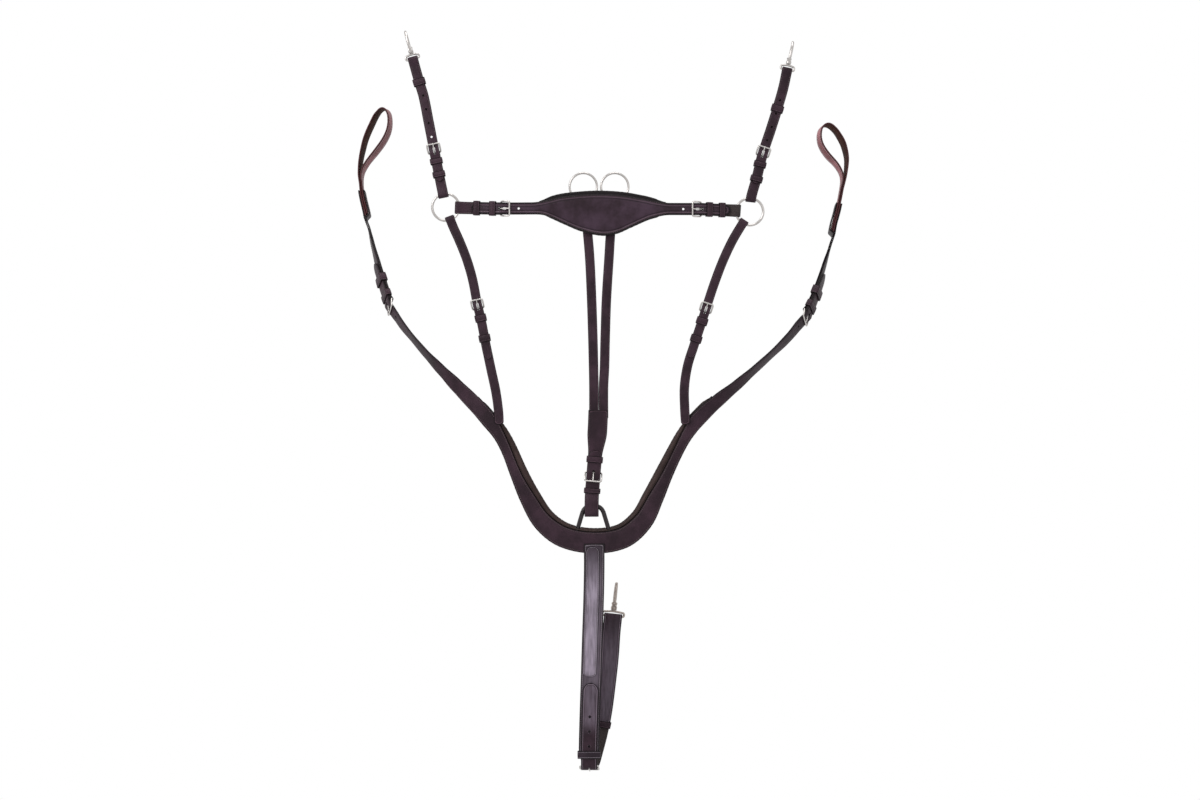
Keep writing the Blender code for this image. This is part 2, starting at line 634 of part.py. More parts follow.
def pad(route, u_span, edges, front, thick, end_ease=16.0):
    """A padded lining with a crowned back, rolled edges and thinned ends."""
    first, last = ceil(u_span[0] / GRID), floor(u_span[1] / GRID)
    rings = []
    for u in [u_span[0]] + [k * GRID for k in range(first, last + 1)] + [u_span[1]]:
        low, high = edges(u)
        room = min(u - u_span[0], u_span[1] - u, end_ease) / end_ease
        deep = thick * (0.35 + 0.65 * sqrt(max(room, 0.0)))
        ease = min(u - u_span[0], u_span[1] - u, END_DROP_LENGTH) / END_DROP_LENGTH
        face = front - END_DROP * (1 - ease)
        squeeze = (high - low) * 0.12 * (1 - room)
        low, high = low + squeeze, high - squeeze
        span = high - low
        shape = [(low + 0.05 * span, 0), (low, -0.3 * deep), (low + 0.02 * span, -0.65 * deep), (low + 0.2 * span, -0.95 * deep),
                 (low + 0.5 * span, -deep), (high - 0.2 * span, -0.95 * deep), (high - 0.02 * span, -0.65 * deep),
                 (high, -0.3 * deep), (high - 0.05 * span, 0)]
        rings.append([route.at(u, b, face + w) for b, w in shape])
    return loft(rings)


def chape_line(buckle, cross_u, ring):
    """A strap folded round a ring and round a buckle's heel bar, its ends meeting on the hidden side."""
    gap = abs(buckle.heel - cross_u)
    fold = fold_line(cross_u, buckle.way, ring.half_wire, CHAPE_THICK, LAYER, ring.sink(buckle.width), buckle.lift,
                     far=gap * 0.45)
    return fold[::-1] + buckle.heel_line(far=gap * 0.5)


# O-rings and the wither strap
rings = {"left": Ring("saddle_ring_left", LEFT_RING, RING_BORE, RING_WIRE),
         "right": Ring("saddle_ring_right", RIGHT_RING, RING_BORE, RING_WIRE)}
WITHER_TIP = 46.0
WITHER_HEEL = {"left": (-154, 4, 7), "right": (157, 4, 6)}
WITHER_KEEPERS = {"left": (12.5, 38.0), "right": (12.5, 33.0)}
wither_buckles = {}
for side, way in (("left", 1), ("right", -1)):
    buckle = Buckle(f"wither_buckle_{side}", WITHER, WITHER.nearest(WITHER_HEEL[side]), way, WITHER_WIDTH)
    cross = rings[side].radius if side == "left" else WITHER.length - rings[side].radius
    chape = piece(f"wither_chape_{side}", band(WITHER, chape_line(buckle, cross, rings[side]), WITHER_WIDTH, CHAPE_THICK),
                  LEATHER)
    buckle.cut_chape(chape)
    for v in WITHER_KEEPERS[side]:
        buckle.add_fixed_keeper(chape, v, 10.0)
    wither_buckles[side] = buckle


def wither_law(*pairs):
    """A law along the wither strap, from (x, edge) pairs."""
    return Law(*[(WITHER.nearest((x, 0, 5)), edge) for x, edge in pairs])


half = WITHER_WIDTH / 2
bridge_top = wither_law((-106, half), (-92, half + 2), (-62, 20.5), (-30, 25.5), (0, 27.0), (36, 25.0), (70, 18.5), (94, half + 2),
                        (110, half))
bridge_low = wither_law((-100, -half), (-84, -half - 2), (-58, -21), (-28, -32), (8, -38.5), (26, -35), (48, -26), (74, -15),
                        (96, -half - 1), (108, -half))
left, right = wither_buckles["left"], wither_buckles["right"]
bridge_line = (left.billet_line(WITHER_TIP) + [(left.heel + 30, 0.0), (right.heel - 30, 0.0)]
               + right.billet_line(WITHER_TIP)[::-1])
bridge_step = wither_law((-84, 0.0), (-66, 1.5), (66, 1.5), (84, 0.0))
bridge = piece("wither_bridge_face", band(WITHER, bridge_line,
                                          lambda u: (bridge_low(u), bridge_top(u) - bridge_step(u)),
                                          FACE_THICK, 12.0, 12.0), LEATHER)
for buckle in (left, right):
    buckle.cut_billet(bridge, (FRAME_REACH + 14.0,))
BRIDGE_PAD = (WITHER.nearest((-96, 0, 7)), WITHER.nearest((101, 0, 6)))
BRIDGE_PAD_THICK = 8.0
piece("wither_bridge_lining", pad(WITHER, BRIDGE_PAD, lambda u: (bridge_low(u) - 0.8, bridge_top(u) + 4.0),
                                  -FACE_THICK / 2 - CLEAR, BRIDGE_PAD_THICK), LINING)

# Saddle straps with their snap hooks
SADDLE_HEEL = {"left": (-258, 17, 95), "right": (252, 18, 89)}
SADDLE_KEEPERS = {"left": (13.0, 34.0), "right": (13.5, 37.0)}
SADDLE_TIP = 45.0
EYE_FOLD = {"left": 122.0, "right": 118.0}
SADDLE_TOP_KEEPER = {"left": (-283, 23, 205), "right": (276, 22, 164)}
for side in ("left", "right"):
    route = SADDLE[side]
    buckle = Buckle(f"saddle_buckle_{side}", route, route.nearest(SADDLE_HEEL[side]), 1, SADDLE_WIDTH)
    chape = piece(f"saddle_chape_{side}",
                  band(route, chape_line(buckle, rings[side].radius, rings[side]), SADDLE_WIDTH, CHAPE_THICK), LEATHER)
    buckle.cut_chape(chape)
    for v in SADDLE_KEEPERS[side]:
        buckle.add_fixed_keeper(chape, v, 9.0)
    eye_fold = fold_line(route.length, -1, EYE_WIRE / 2, BILLET_THICK, BILLET_LAYER, far=EYE_FOLD[side])
    line = buckle.billet_line(SADDLE_TIP) + [(buckle.heel + 28, BILLET_LAYER)] + eye_fold
    billet = piece(f"saddle_billet_{side}", band(route, line, SADDLE_WIDTH, BILLET_THICK, 10.0), LEATHER)
    buckle.cut_billet(billet, [FRAME_REACH + 12.0 + HOLE_PITCH * k for k in range(4)], deep=-0.05)
    under = BILLET_LAYER + BILLET_THICK / 2
    shape_with(billet, keeper(route, route.nearest(SADDLE_TOP_KEEPER[side]), 11.0, SADDLE_WIDTH + 2 * CLEAR,
                              (0.5 - under, under + CLEAR)), "UNION")
    snap_hook(f"saddle_hook_{side}", route, route.length, 1, SADDLE_WIDTH, HOOK_LENGTH)

# Shoulder straps
SHOULDER_HEEL = {"left": (-189, 10, -149), "right": (164, 10, -153)}
SHOULDER_KEEPERS = {"left": (15.0, 47.0), "right": (15.0, 44.0)}
SHOULDER_TIP = {"left": 80.0, "right": 75.0}
for side in ("left", "right"):
    route = SHOULDER[side]
    buckle = Buckle(f"shoulder_buckle_{side}", route, route.nearest(SHOULDER_HEEL[side]), -1, SHOULDER_WIDTH)
    reach = route.length - buckle.heel
    chape = piece(f"shoulder_chape_{side}", band(route, buckle.heel_line(near=reach, far=reach - 50.0), SHOULDER_WIDTH,
                                                 CHAPE_THICK, start_tip=4.0), LEATHER)
    buckle.cut_chape(chape)
    for v in SHOULDER_KEEPERS[side]:
        buckle.add_fixed_keeper(chape, v, 11.0)
    ring_fold = fold_line(rings[side].radius, 1, rings[side].half_wire, BILLET_THICK, BILLET_LAYER,
                          rings[side].sink(SHOULDER_WIDTH), far=52.0)
    line = ring_fold[::-1] + [(buckle.heel - 28, BILLET_LAYER)] + buckle.billet_line(SHOULDER_TIP[side])[::-1]
    billet = piece(f"shoulder_billet_{side}", band(route, line, SHOULDER_WIDTH, BILLET_THICK, end_tip=10.0), LEATHER)
    buckle.cut_billet(billet)

# Breast collar, which ends in the girth billets
GIRTH_HEEL = {"left": (-333, 71, -136), "right": (326, 69, -152)}
GIRTH_TIP = {"left": 74.0, "right": 74.0}
TIP_RISE = 1.3
GIRTH_FIXED_KEEPER = 13.5
GIRTH_LOOSE_KEEPER = {"left": 44.0, "right": 40.0}
GIRTH_CHAPE_END = {"left": COLLAR.knot_marks[2] - 8.0, "right": COLLAR.knot_marks[-3] + 13.0}
SLEEVE_LENGTH = {"left": 46.0, "right": 52.0}
LOOP_LEG_THICK = 2.6
LOOP_GAP = 0.4
SLEEVE_SPLAY = 2 * LOOP_LEG_THICK + 3 * LOOP_GAP
SLEEVE_LIFT = 2.5
girth_buckles = {}
for side, way in (("left", 1), ("right", -1)):
    buckle = Buckle(f"girth_buckle_{side}", COLLAR, COLLAR.nearest(GIRTH_HEEL[side]), way, GIRTH_WIDTH)
    reach = abs(buckle.heel - GIRTH_CHAPE_END[side])
    seam = reach - SLEEVE_LENGTH[side]
    splayed = LAYER + SLEEVE_SPLAY
    front = [(-reach, LAYER + SLEEVE_LIFT), (-seam, LAYER + SLEEVE_LIFT)]
    rear = [(-seam, SLEEVE_LIFT - LAYER), (-seam - 5.0, SLEEVE_LIFT - splayed - 0.6), (4.0 - reach, SLEEVE_LIFT - splayed),
            (-reach, SLEEVE_LIFT + 0.6 - splayed)]
    line = buckle.put(front) + buckle.heel_line(near=seam - 16.0, far=seam - 16.0) + buckle.put(rear)
    chape = piece(f"girth_chape_{side}",
                  band(COLLAR, line, GIRTH_WIDTH, CHAPE_THICK), LEATHER)
    buckle.cut_chape(chape)
    buckle.add_fixed_keeper(chape, GIRTH_FIXED_KEEPER, 12.0)
    piece(f"girth_keeper_{side}", keeper(COLLAR, buckle.heel - way * GIRTH_LOOSE_KEEPER[side], 14.0,
                                         GIRTH_WIDTH + 2 * CLEAR, buckle.keeper_span(False)), LEATHER,
          pivot=buckle.place(-GIRTH_LOOSE_KEEPER[side], 0, 0))
    girth_buckles[side] = buckle

FACE_WIDTHS = [GIRTH_WIDTH, 24.0, 24.0, 24.5, 22.5, 21.5, 23.5, 28.0, 31.5, 33.0, 33.0]
PAD_SHOWS = [0.3, 0.3, 0.5, 1.0, 2.0, 3.2, 4.0, 4.4, 4.8, 5.4, 5.8]
ROLL = [0.0, 0.0, 0.0, 1.0, 5.0, 6.3, 6.8, 4.7, 3.0, 1.4, 0.4]


def along_collar(values):
    """A law with a value at each knot from the eleventh to the middle one, and the same on the other side."""
    middle = len(COLLAR_KNOTS) // 2
    first = middle - len(values) + 1
    return Law(*[(COLLAR.knot_marks[first + i], v) for i, v in enumerate(values)],
               *[(COLLAR.knot_marks[2 * middle - first - i], v) for i, v in enumerate(values[:-1])])


face_width, pad_shows, roll = along_collar(FACE_WIDTHS), along_collar(PAD_SHOWS), along_collar(ROLL)
left, right = girth_buckles["left"], girth_buckles["right"]
collar_line = (left.billet_line(GIRTH_TIP["left"], TIP_RISE) + [(left.heel + 30, 0.0), (right.heel - 30, 0.0)]
               + right.billet_line(GIRTH_TIP["right"], TIP_RISE)[::-1])
collar = piece("breast_collar_face", band(COLLAR, collar_line,
                                          lambda u: (-face_width(u) / 2, face_width(u) / 2 - roll(u)),
                                          FACE_THICK, 14.0, 14.0), LEATHER)
for buckle in (left, right):
    buckle.cut_billet(collar, (FRAME_REACH + 14.0,))
COLLAR_PAD = (COLLAR.knot_marks[14], COLLAR.knot_marks[30])
lining = piece("breast_collar_lining",
               pad(COLLAR, COLLAR_PAD, lambda u: (-face_width(u) / 2 - 0.8, face_width(u) / 2 + pad_shows(u)),
                   -FACE_THICK / 2 - CLEAR, LINING_THICK), LINING)

# Chest ring: a steel core with a rolled leather sleeve, held behind the collar
CHEST_DEPTH = 5.6
CHEST_CORNERS = [drawn((x, CHEST_DEPTH, z)) for x, z in ((-24, -454), (2.5, -454.5), (18, -506), (-39.5, -506))]
CHEST_BENDS = (12.0, 12.0, 5.0, 5.0)
chest_path = rounded(CHEST_CORNERS, CHEST_BENDS, 5)
piece("chest_ring", wire(chest_path, CHEST_CORE / 2, 8, closed=True, out=FRONT), STEEL)
per_corner = len(chest_path) // 4
sleeve_path = chest_path[-1:] + chest_path[:2 * per_corner + 1]
piece("chest_ring_sleeve", pipe(sleeve_path, CHEST_CORE / 2 + CLEAR, CHEST_SLEEVE / 2), LEATHER)
CHANNEL_FORWARD = Vector((0, -0.7, 0))
for start, end in ((0, 3), (1, 2), (3, 2)):
    start, end = (CHEST_CORNERS[k] + CHANNEL_FORWARD for k in (start, end))
    past = (end - start).normalized() * CHEST_CORE / 2
    channel = wire([start - past, end + past], CHEST_SLEEVE / 2 + 1.2, 8, out=FRONT)
    shape_with(lining, channel, "DIFFERENCE")

# Martingale fork: a split strap from two rings down to a buckled tail round the chest ring
MARTINGALE_RING_CENTRES = {"left": (-26, 16, 42), "right": (23, 16, 42)}
FORK_TOP, FORK_SEAM, TRUNK_NARROW = 26.0, 60.0, 98.0
MARTINGALE_HEEL = (-10, 9, -402)
MARTINGALE_TIP = 34.0
TRUNK_WIDTH = 2 * FORK_WIDTH + FORK_GAP
buckle = Buckle("martingale_buckle", MARTINGALE, MARTINGALE.nearest(MARTINGALE_HEEL), 1, TAIL_WIDTH)
trunk_width = Law((FORK_TOP, TRUNK_WIDTH), (FORK_SEAM, TRUNK_WIDTH), (TRUNK_NARROW, TAIL_WIDTH))
trunk_line = buckle.heel_line(near=buckle.heel - FORK_TOP, far=34.0)
trunk = piece("martingale_strap", band(MARTINGALE, trunk_line, lambda u: (-trunk_width(u) / 2, trunk_width(u) / 2),
                                       CHAPE_THICK), LEATHER)
for side in ("left", "right"):
    ring = Ring(f"martingale_ring_{side}", MARTINGALE_RING_CENTRES[side], MARTINGALE_BORE, MARTINGALE_WIRE)
    route = BRANCH[side]
    fold = fold_line(route.length - ring.radius, -1, ring.half_wire, CHAPE_THICK, LAYER, ring.sink(FORK_WIDTH), far=34.0)
    shape_with(trunk, band(route, [(0.0, LAYER)] + fold, FORK_WIDTH, CHAPE_THICK), "UNION")
buckle.cut_chape(trunk)
buckle.add_fixed_keeper(trunk, 20.0, 10.0)
TAIL_SLACK = 16.0
tail_turn = MARTINGALE.nearest((-13, CHEST_DEPTH, -464.9))
tail_fold = fold_line(tail_turn, -1, CHEST_SLEEVE / 2 + 3 * CLEAR, BILLET_THICK, BILLET_LAYER + 1.0, slack=TAIL_SLACK)
behind = Buckle.turn + CHAPE_THICK / 2 + CLEAR + BILLET_THICK / 2
past_keeper = LAYER + CHAPE_THICK / 2 - 0.5 + KEEPER_THICK + 2 * CLEAR + BILLET_THICK / 2
on_trunk = BILLET_THICK / 2 + CLEAR - FOLD_GAP / 2
TAIL_SEAM = 47.0
tail_line = (buckle.billet_line(MARTINGALE_TIP) + tail_fold
             + buckle.put([(10.0, -behind), (-2.0, -behind), (-12.0, -past_keeper), (-32.0, -past_keeper),
                           (2.0 - TAIL_SEAM, -on_trunk), (-TAIL_SEAM - 12.0, -on_trunk)]))
tail = piece("martingale_tail", band(MARTINGALE, tail_line, TAIL_WIDTH, BILLET_THICK, 10.0), LEATHER)
buckle.cut_billet(tail)
TAIL_KEEPER = (-11.5, 8, -433.5)
under = BILLET_LAYER + 1.0 + BILLET_THICK / 2
shape_with(tail, keeper(MARTINGALE, MARTINGALE.nearest(TAIL_KEEPER), 8.0, TAIL_WIDTH + 2 * CLEAR,
                        (0.5 - under, under + CLEAR)), "UNION")

# Girth loops, with their feet sewn between the layers at the top of the girth straps
LOOP_HALF_WIDTH = {"left": 15.5, "right": 17.5}
LOOP_FOOT = {"left": 43.0, "right": 49.0}
LOOP_NECK = {"left": 17.0, "right": 35.0}
LOOP_WIDEST = 0.68
feet_top = LAYER + SLEEVE_LIFT - CHAPE_THICK / 2 - LOOP_GAP
near_leg, far_leg = feet_top - LOOP_LEG_THICK / 2, feet_top - LOOP_GAP - 1.5 * LOOP_LEG_THICK
for side in ("left", "right"):
    route = LOOP[side]
    seam = route.closest(COLLAR.at(GIRTH_CHAPE_END[side]))
    foot, spread, top = seam - LOOP_FOOT[side], seam + LOOP_NECK[side], route.length
    wide = LOOP_HALF_WIDTH[side]
    widest = spread + (top - spread) * LOOP_WIDEST
    rise = [i / 7 for i in range(8)]
    line = []
    for leg, half, back in ((near_leg, wide, 0.0), (far_leg, -wide, 3.0)):
        strand = [(foot + back, leg), (spread, leg)]
        strand += [(spread + (widest - spread) * t, leg + (half - leg) * (1 - cos(pi * t)) / 2) for t in rise[1:]]
        strand += [(widest + (top - widest) * sin(t * pi / 2), half * cos(t * pi / 2)) for t in rise[1:]]
        line = strand if not line else line + strand[-2::-1]
    piece(f"girth_loop_{side}", band(route, line, GIRTH_WIDTH + 1.0, LOOP_LEG_THICK, step=GRID / 2), BROWN)

# Belly strap and the strap of the belly snap hook
BELLY_HEEL = (-17, 6, -858)
buckle = Buckle("belly_buckle", BELLY, BELLY.nearest(BELLY_HEEL), 1, HOOK_STRAP_WIDTH)
on_collar = FACE_THICK / 2 + CLEAR + CHAPE_THICK / 2
belly_line = [(3.5, on_collar), (20.0, on_collar), (34.0, LAYER)] + buckle.heel_line(far=70.0)
belly_width = Law((buckle.heel - 30.0, BELLY_WIDTH), (buckle.heel - 10.0, HOOK_STRAP_WIDTH))
belly = piece("belly_strap", band(BELLY, belly_line, lambda u: (-belly_width(u) / 2, belly_width(u) / 2), CHAPE_THICK),
              LEATHER)
RIDGE_SPAN = (8.0, 210.0)
ridge_line = [(RIDGE_SPAN[0], on_collar + 1.2), (20.0, on_collar + 1.2), (34.0, LAYER + 1.2), (RIDGE_SPAN[1], LAYER + 1.2)]
ridge = band(BELLY, ridge_line,
             lambda u: (-BELLY_RIDGE_WIDTH / 2 - BELLY_RIDGE_SHIFT, BELLY_RIDGE_WIDTH / 2 - BELLY_RIDGE_SHIFT),
             BELLY_RIDGE_RISE, 10.0, 6.0, 29.0)
shape_with(belly, ridge, "UNION")
buckle.cut_chape(belly)
BELLY_KEEPER = 21.0
span = buckle.keeper_span(True)
shape_with(belly, keeper(BELLY, buckle.heel - BELLY_KEEPER, 11.0, BELLY_WIDTH + 2 * CLEAR, span), "UNION")
BELLY_TIP = 132.0
HOOK_KEEPER = (5, 36, -797)
eye_fold = fold_line(BELLY.length, -1, EYE_WIRE / 2, BILLET_THICK, BILLET_LAYER, far=172.0)
line = buckle.billet_line(BELLY_TIP) + [(buckle.heel + 34, BILLET_LAYER)] + eye_fold
hook_width = Law((BELLY.nearest(HOOK_KEEPER) + 15.0, HOOK_STRAP_WIDTH), (BELLY.length - 40.0, HOOK_STRAP_TOP))
hook_strap = piece("belly_hook_strap", band(BELLY, line, lambda u: (-hook_width(u) / 2, hook_width(u) / 2), BILLET_THICK,
                                            13.0), LEATHER)
buckle.cut_billet(hook_strap)
for k in range(3):
    hole = peg(BELLY, buckle.heel - 34.0 - 23.0 * k, (Buckle.over - 1.9, Buckle.over + 4.0), HOLE_SIZE)
    shape_with(hook_strap, hole, "DIFFERENCE")
under = BILLET_LAYER + BILLET_THICK / 2
shape_with(hook_strap, keeper(BELLY, BELLY.nearest(HOOK_KEEPER), 10.0, HOOK_STRAP_WIDTH + 2 * CLEAR,
                              (0.5 - under, under + CLEAR)), "UNION")
snap_hook("belly_hook", BELLY, BELLY.length, 1, HOOK_STRAP_TOP, BELLY_HOOK_LENGTH)
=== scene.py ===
"""Dresses the five-point breastplate: stitched havana leather, padded linings and bright steel.

Lengths below are millimetres in the frame's own axes and become metres when a mesh is made.
"""

import bisect
from math import atan2, ceil, cos, hypot, pi, radians, sin, sqrt

import bmesh
import bpy
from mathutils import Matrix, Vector


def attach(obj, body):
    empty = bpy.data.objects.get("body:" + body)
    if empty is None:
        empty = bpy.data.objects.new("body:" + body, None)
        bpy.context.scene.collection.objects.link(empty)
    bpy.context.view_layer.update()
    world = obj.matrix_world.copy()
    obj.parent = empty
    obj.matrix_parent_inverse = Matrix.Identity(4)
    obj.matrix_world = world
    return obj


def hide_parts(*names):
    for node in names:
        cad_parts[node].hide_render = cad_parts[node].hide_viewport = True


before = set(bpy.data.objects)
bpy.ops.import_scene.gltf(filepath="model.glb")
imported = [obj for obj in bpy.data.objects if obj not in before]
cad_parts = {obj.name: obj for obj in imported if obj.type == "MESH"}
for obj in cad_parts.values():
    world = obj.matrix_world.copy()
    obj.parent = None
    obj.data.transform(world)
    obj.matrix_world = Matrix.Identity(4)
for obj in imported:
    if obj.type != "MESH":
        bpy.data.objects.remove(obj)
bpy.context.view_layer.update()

MM = 0.001
FRONT = (0, -1, 0)
ROOT = "straps"

# Sizes of the leather and the metal
CLEAR = 0.3
FOLD_GAP = 0.3
CHAPE_THICK = 2.0
BILLET_THICK = 2.4
KEEPER_THICK = 1.5
KEEPER_SLACK = 1.0
WITHER_WIDTH = 19.0
SADDLE_WIDTH = 16.0
SHOULDER_WIDTH = 14.5
GIRTH_WIDTH = 24.0
FORK_WIDTH = 14.8
FORK_GAP = 1.0
TAIL_WIDTH = 22.0
BELLY_WIDTH = 32.0
BELLY_RIDGE_WIDTH = 22.0
HOOK_STRAP_WIDTH = 25.0
HOOK_STRAP_TOP = 28.5
RING_BORE = 38.0
RING_WIRE = 4.0
MARTINGALE_BORE = 39.0
MARTINGALE_WIRE = 3.6
CHEST_CORE = 4.0
CHEST_SLEEVE = 7.0
BAR_THICK = 2.6
FRAME_REACH = 14.0
FRAME_SLACK = 0.5
TONGUE_THICK = 2.2
BILLET_DIP = 2.2
SLOT_WIDTH = 3.4
HOLE_PITCH = 22.0
HOLE_SIZE = 3.6
EYE_WIRE = 3.2
EYE_RISE = 5.4
EYE_SIDE = 6.0
BARREL_SIZE = 10.0
BARREL_LENGTH = 9.0
ROUTE_STEPS = 16
ARC_PIECES = 14
STITCH_PITCH = 3.2
STITCH_INSET = 2.3
STITCH_LIFT = 0.02
STITCH_SHOWS = (0.14, 0.86)
KEEPER_LENGTH = {"wither": 10.0, "saddle": 9.0, "saddle_top": 11.0, "shoulder": 11.0, "girth": 12.0,
                 "girth_loose": 14.0, "martingale": 10.0, "tail": 8.0, "belly": 11.0, "hook": 10.0}


# Shader values and materials
class Value:
    """A socket of a node tree, which sums and products can be written with."""

    def __init__(self, nodes, link):
        self.nodes, self.link = nodes, link

    def sum(self, kind, *others):
        return self.nodes.node("Math", {"operation": kind}, dict(enumerate((self, *others))))

    def __add__(self, other):
        return self.sum("ADD", other)

    def __sub__(self, other):
        return self.sum("SUBTRACT", other)

    def __rsub__(self, other):
        return (self * -1) + other

    def __mul__(self, other):
        return self.sum("MULTIPLY", other)

    def ramp(self, low, high):
        """0 below low, 1 above high, smooth between."""
        return self.nodes.node("MapRange", {"interpolation_type": "SMOOTHSTEP"}, {0: self, 1: low, 2: high})

    def between(self, low, full, fade, high):
        """1 from full to fade, 0 below low and above high."""
        return self.ramp(low, full) * (1 - self.ramp(fade, high))


class Nodes:
    """A node tree, built node by node."""

    def __init__(self, tree):
        self.tree = tree

    def node(self, kind, settings, inputs, output=0):
        made = self.tree.nodes.new("ShaderNode" + kind)
        for key, value in settings.items():
            setattr(made, key, value)
        for key, value in inputs.items():
            if isinstance(value, Value):
                self.tree.links.new(value.link, made.inputs[key])
            else:
                made.inputs[key].default_value = value
        return Value(self, made.outputs[output]) if made.outputs else None

    def seen_rays(self):
        """1 for the rays that show the background: to the camera, in a shine or through glass."""
        camera, glossy, through = (self.node("LightPath", {}, {}, f"Is {kind} Ray")
                                   for kind in ("Camera", "Glossy", "Transmission"))
        return camera.sum("MAXIMUM", glossy).sum("MAXIMUM", through)


class Finish(Nodes):
    """A Principled material."""

    def __init__(self, name, **values):
        self.material = bpy.data.materials.new(name)
        self.material.use_nodes = True
        super().__init__(self.material.node_tree)
        self.shader = self.tree.nodes["Principled BSDF"]
        for key, value in values.items():
            self.shader.inputs[key.replace("_", " ").title().replace("Ior", "IOR")].default_value = value

    def coordinates(self):
        return self.node("TexCoord", {}, {}, "Object")

    def stretched(self, where, share):
        """Coordinates that draw a pattern out along z."""
        return self.node("Mapping", {}, {0: where, 3: (1.0, 1.0, share)})

    def noise(self, where, scale, detail, roughness):
        return self.node("TexNoise", {}, {"Vector": where, "Scale": scale, "Detail": detail,
                                          "Roughness": roughness})

    def cells(self, where, scale, feature="F1"):
        return self.node("TexVoronoi", {"feature": feature}, {"Vector": where, "Scale": scale})

    def mix(self, share, a, b):
        """A colour between a and b."""
        a, b = (c if isinstance(c, Value) else (*c, 1.0) for c in (a, b))
        return self.node("Mix", {"data_type": "RGBA"}, {0: share, 6: a, 7: b}, 2)

    def feed(self, socket, value):
        self.tree.links.new(value.link, self.shader.inputs[socket])

    def bump(self, height, strength, distance):
        self.feed("Normal", self.node("Bump", {}, {"Height": height, "Strength": strength,
                                                   "Distance": distance * MM}))


def darker(shade, share):
    return tuple(c * share for c in shade)


def leather(name, deep, warm, burnish_and_highlight_colour, rough, grain=0.5, coat=0.02, painted_sheen=None):
    """Dyed leather: pores, creases and cloudy dye, a dark edge of edge paint and painted shade, a light line
    of burnish and painted highlight, and a crease with painted shade in it.

    The last argument is (share, colour, low, high): a painted sheen, a paler colour laid on the strap between
    two heights in metres, where light shines on it.
    """
    f = Finish(name, specular_ior_level=0.14, coat_weight=coat, coat_roughness=0.32)
    where = f.coordinates()
    clouds = f.noise(where, 22.0, 4.0, 0.6)
    streaks = f.noise(where, 140.0, 3.0, 0.6)
    pores = f.cells(where, 1500.0)
    creases = f.cells(where, 700.0, "DISTANCE_TO_EDGE").ramp(0.0, 0.10)
    rim = f.node("Attribute", {"attribute_name": "rim"}, {}, "Fac")
    # The dark rim along the edge: real edge paint, and painted shade where the rounded edge turns away from
    # the light.
    edge_paint_and_shade = 1 - rim.ramp(0.7, 1.4)
    burnish_and_highlight_line, crease = rim.between(1.2, 1.5, 1.7, 2.1), rim.between(1.9, 2.2, 2.4, 2.9)
    tone = f.mix(clouds.ramp(0.32, 0.70), deep, warm)
    tone = f.mix(streaks.ramp(0.5, 0.8) * 0.3, tone, darker(deep, 0.5))
    # Painted sheen: a paler, streaky colour between two heights, where the light shines on the strap.
    if painted_sheen:
        share, pale, low, high = painted_sheen
        sheen_streaks = f.noise(f.stretched(where, 0.12), 260.0, 3.0, 0.6)
        height = f.node("SeparateXYZ", {}, {0: where}, 2)
        sheen_band = height.between(low - 0.012, low + 0.02, high - 0.07, high + 0.025)
        streaked_sheen = sheen_streaks.ramp(0.25, 0.75) * 0.5 + clouds.ramp(0.3, 0.7) * 0.2 + 0.4
        tone = f.mix(sheen_band * streaked_sheen * share, tone, pale)
    # The light line along the edge: burnish, and painted highlight where the light catches the rounded edge.
    tone = f.mix(burnish_and_highlight_line * (streaks * 0.5 + 0.3), tone, burnish_and_highlight_colour)
    # Painted shade: the crease groove is darkened in the colour as well as sunk in the bump.
    tone = f.mix(crease * 0.6, tone, darker(deep, 0.3))
    f.feed("Base Color", f.mix(edge_paint_and_shade * 0.92, tone, darker(deep, 0.25)))
    f.feed("Roughness", clouds * 0.14 + streaks * 0.12 + (rough - 0.12) - burnish_and_highlight_line * 0.08)
    f.bump(pores * 0.45 + creases * 0.35 + streaks * 0.8 + clouds * 0.5 - crease * 1.5, grain, 0.12)
    return f.material


def suede(name, deep, light):
    """The napped flesh side of leather."""
    f = Finish(name, specular_ior_level=0.2, sheen_weight=0.25, sheen_roughness=0.6)
    where = f.coordinates()
    nap = f.noise(where, 900.0, 5.0, 0.75)
    clouds = f.noise(where, 60.0, 4.0, 0.6)
    f.feed("Base Color", f.mix(nap.ramp(0.3, 0.75) * 0.6 + clouds.ramp(0.4, 0.7) * 0.4, deep, light))
    f.feed("Roughness", nap * 0.15 + 0.78)
    f.bump(nap + clouds * 0.3, 0.6, 0.2)
    return f.material


def polished(name, tint, rough):
    """Bright steel with fine polishing marks and faint handling haze."""
    f = Finish(name, metallic=1.0)
    where = f.coordinates()
    haze = f.noise(where, 90.0, 3.0, 0.6)
    marks = f.noise(f.stretched(where, 6.0), 700.0, 2.0, 0.5)
    f.feed("Base Color", f.mix(haze.ramp(0.35, 0.75), tint, darker(tint, 0.86)))
    f.feed("Roughness", haze * 0.10 + marks * 0.08 + (rough - 0.06))
    f.bump(marks * 0.6 + haze * 0.4, 0.12, 0.05)
    return f.material


def thread(name):
    """Waxed linen thread: two strands twisted together."""
    f = Finish(name, coat_weight=0.15, coat_roughness=0.4)
    twist = f.noise(f.coordinates(), 1800.0, 2.0, 0.5)
    f.feed("Base Color", f.mix(twist.ramp(0.3, 0.7), (0.055, 0.034, 0.032), (0.020, 0.012, 0.013)))
    f.feed("Roughness", twist * 0.2 + 0.45)
    f.bump(twist, 0.5, 0.1)
    return f.material


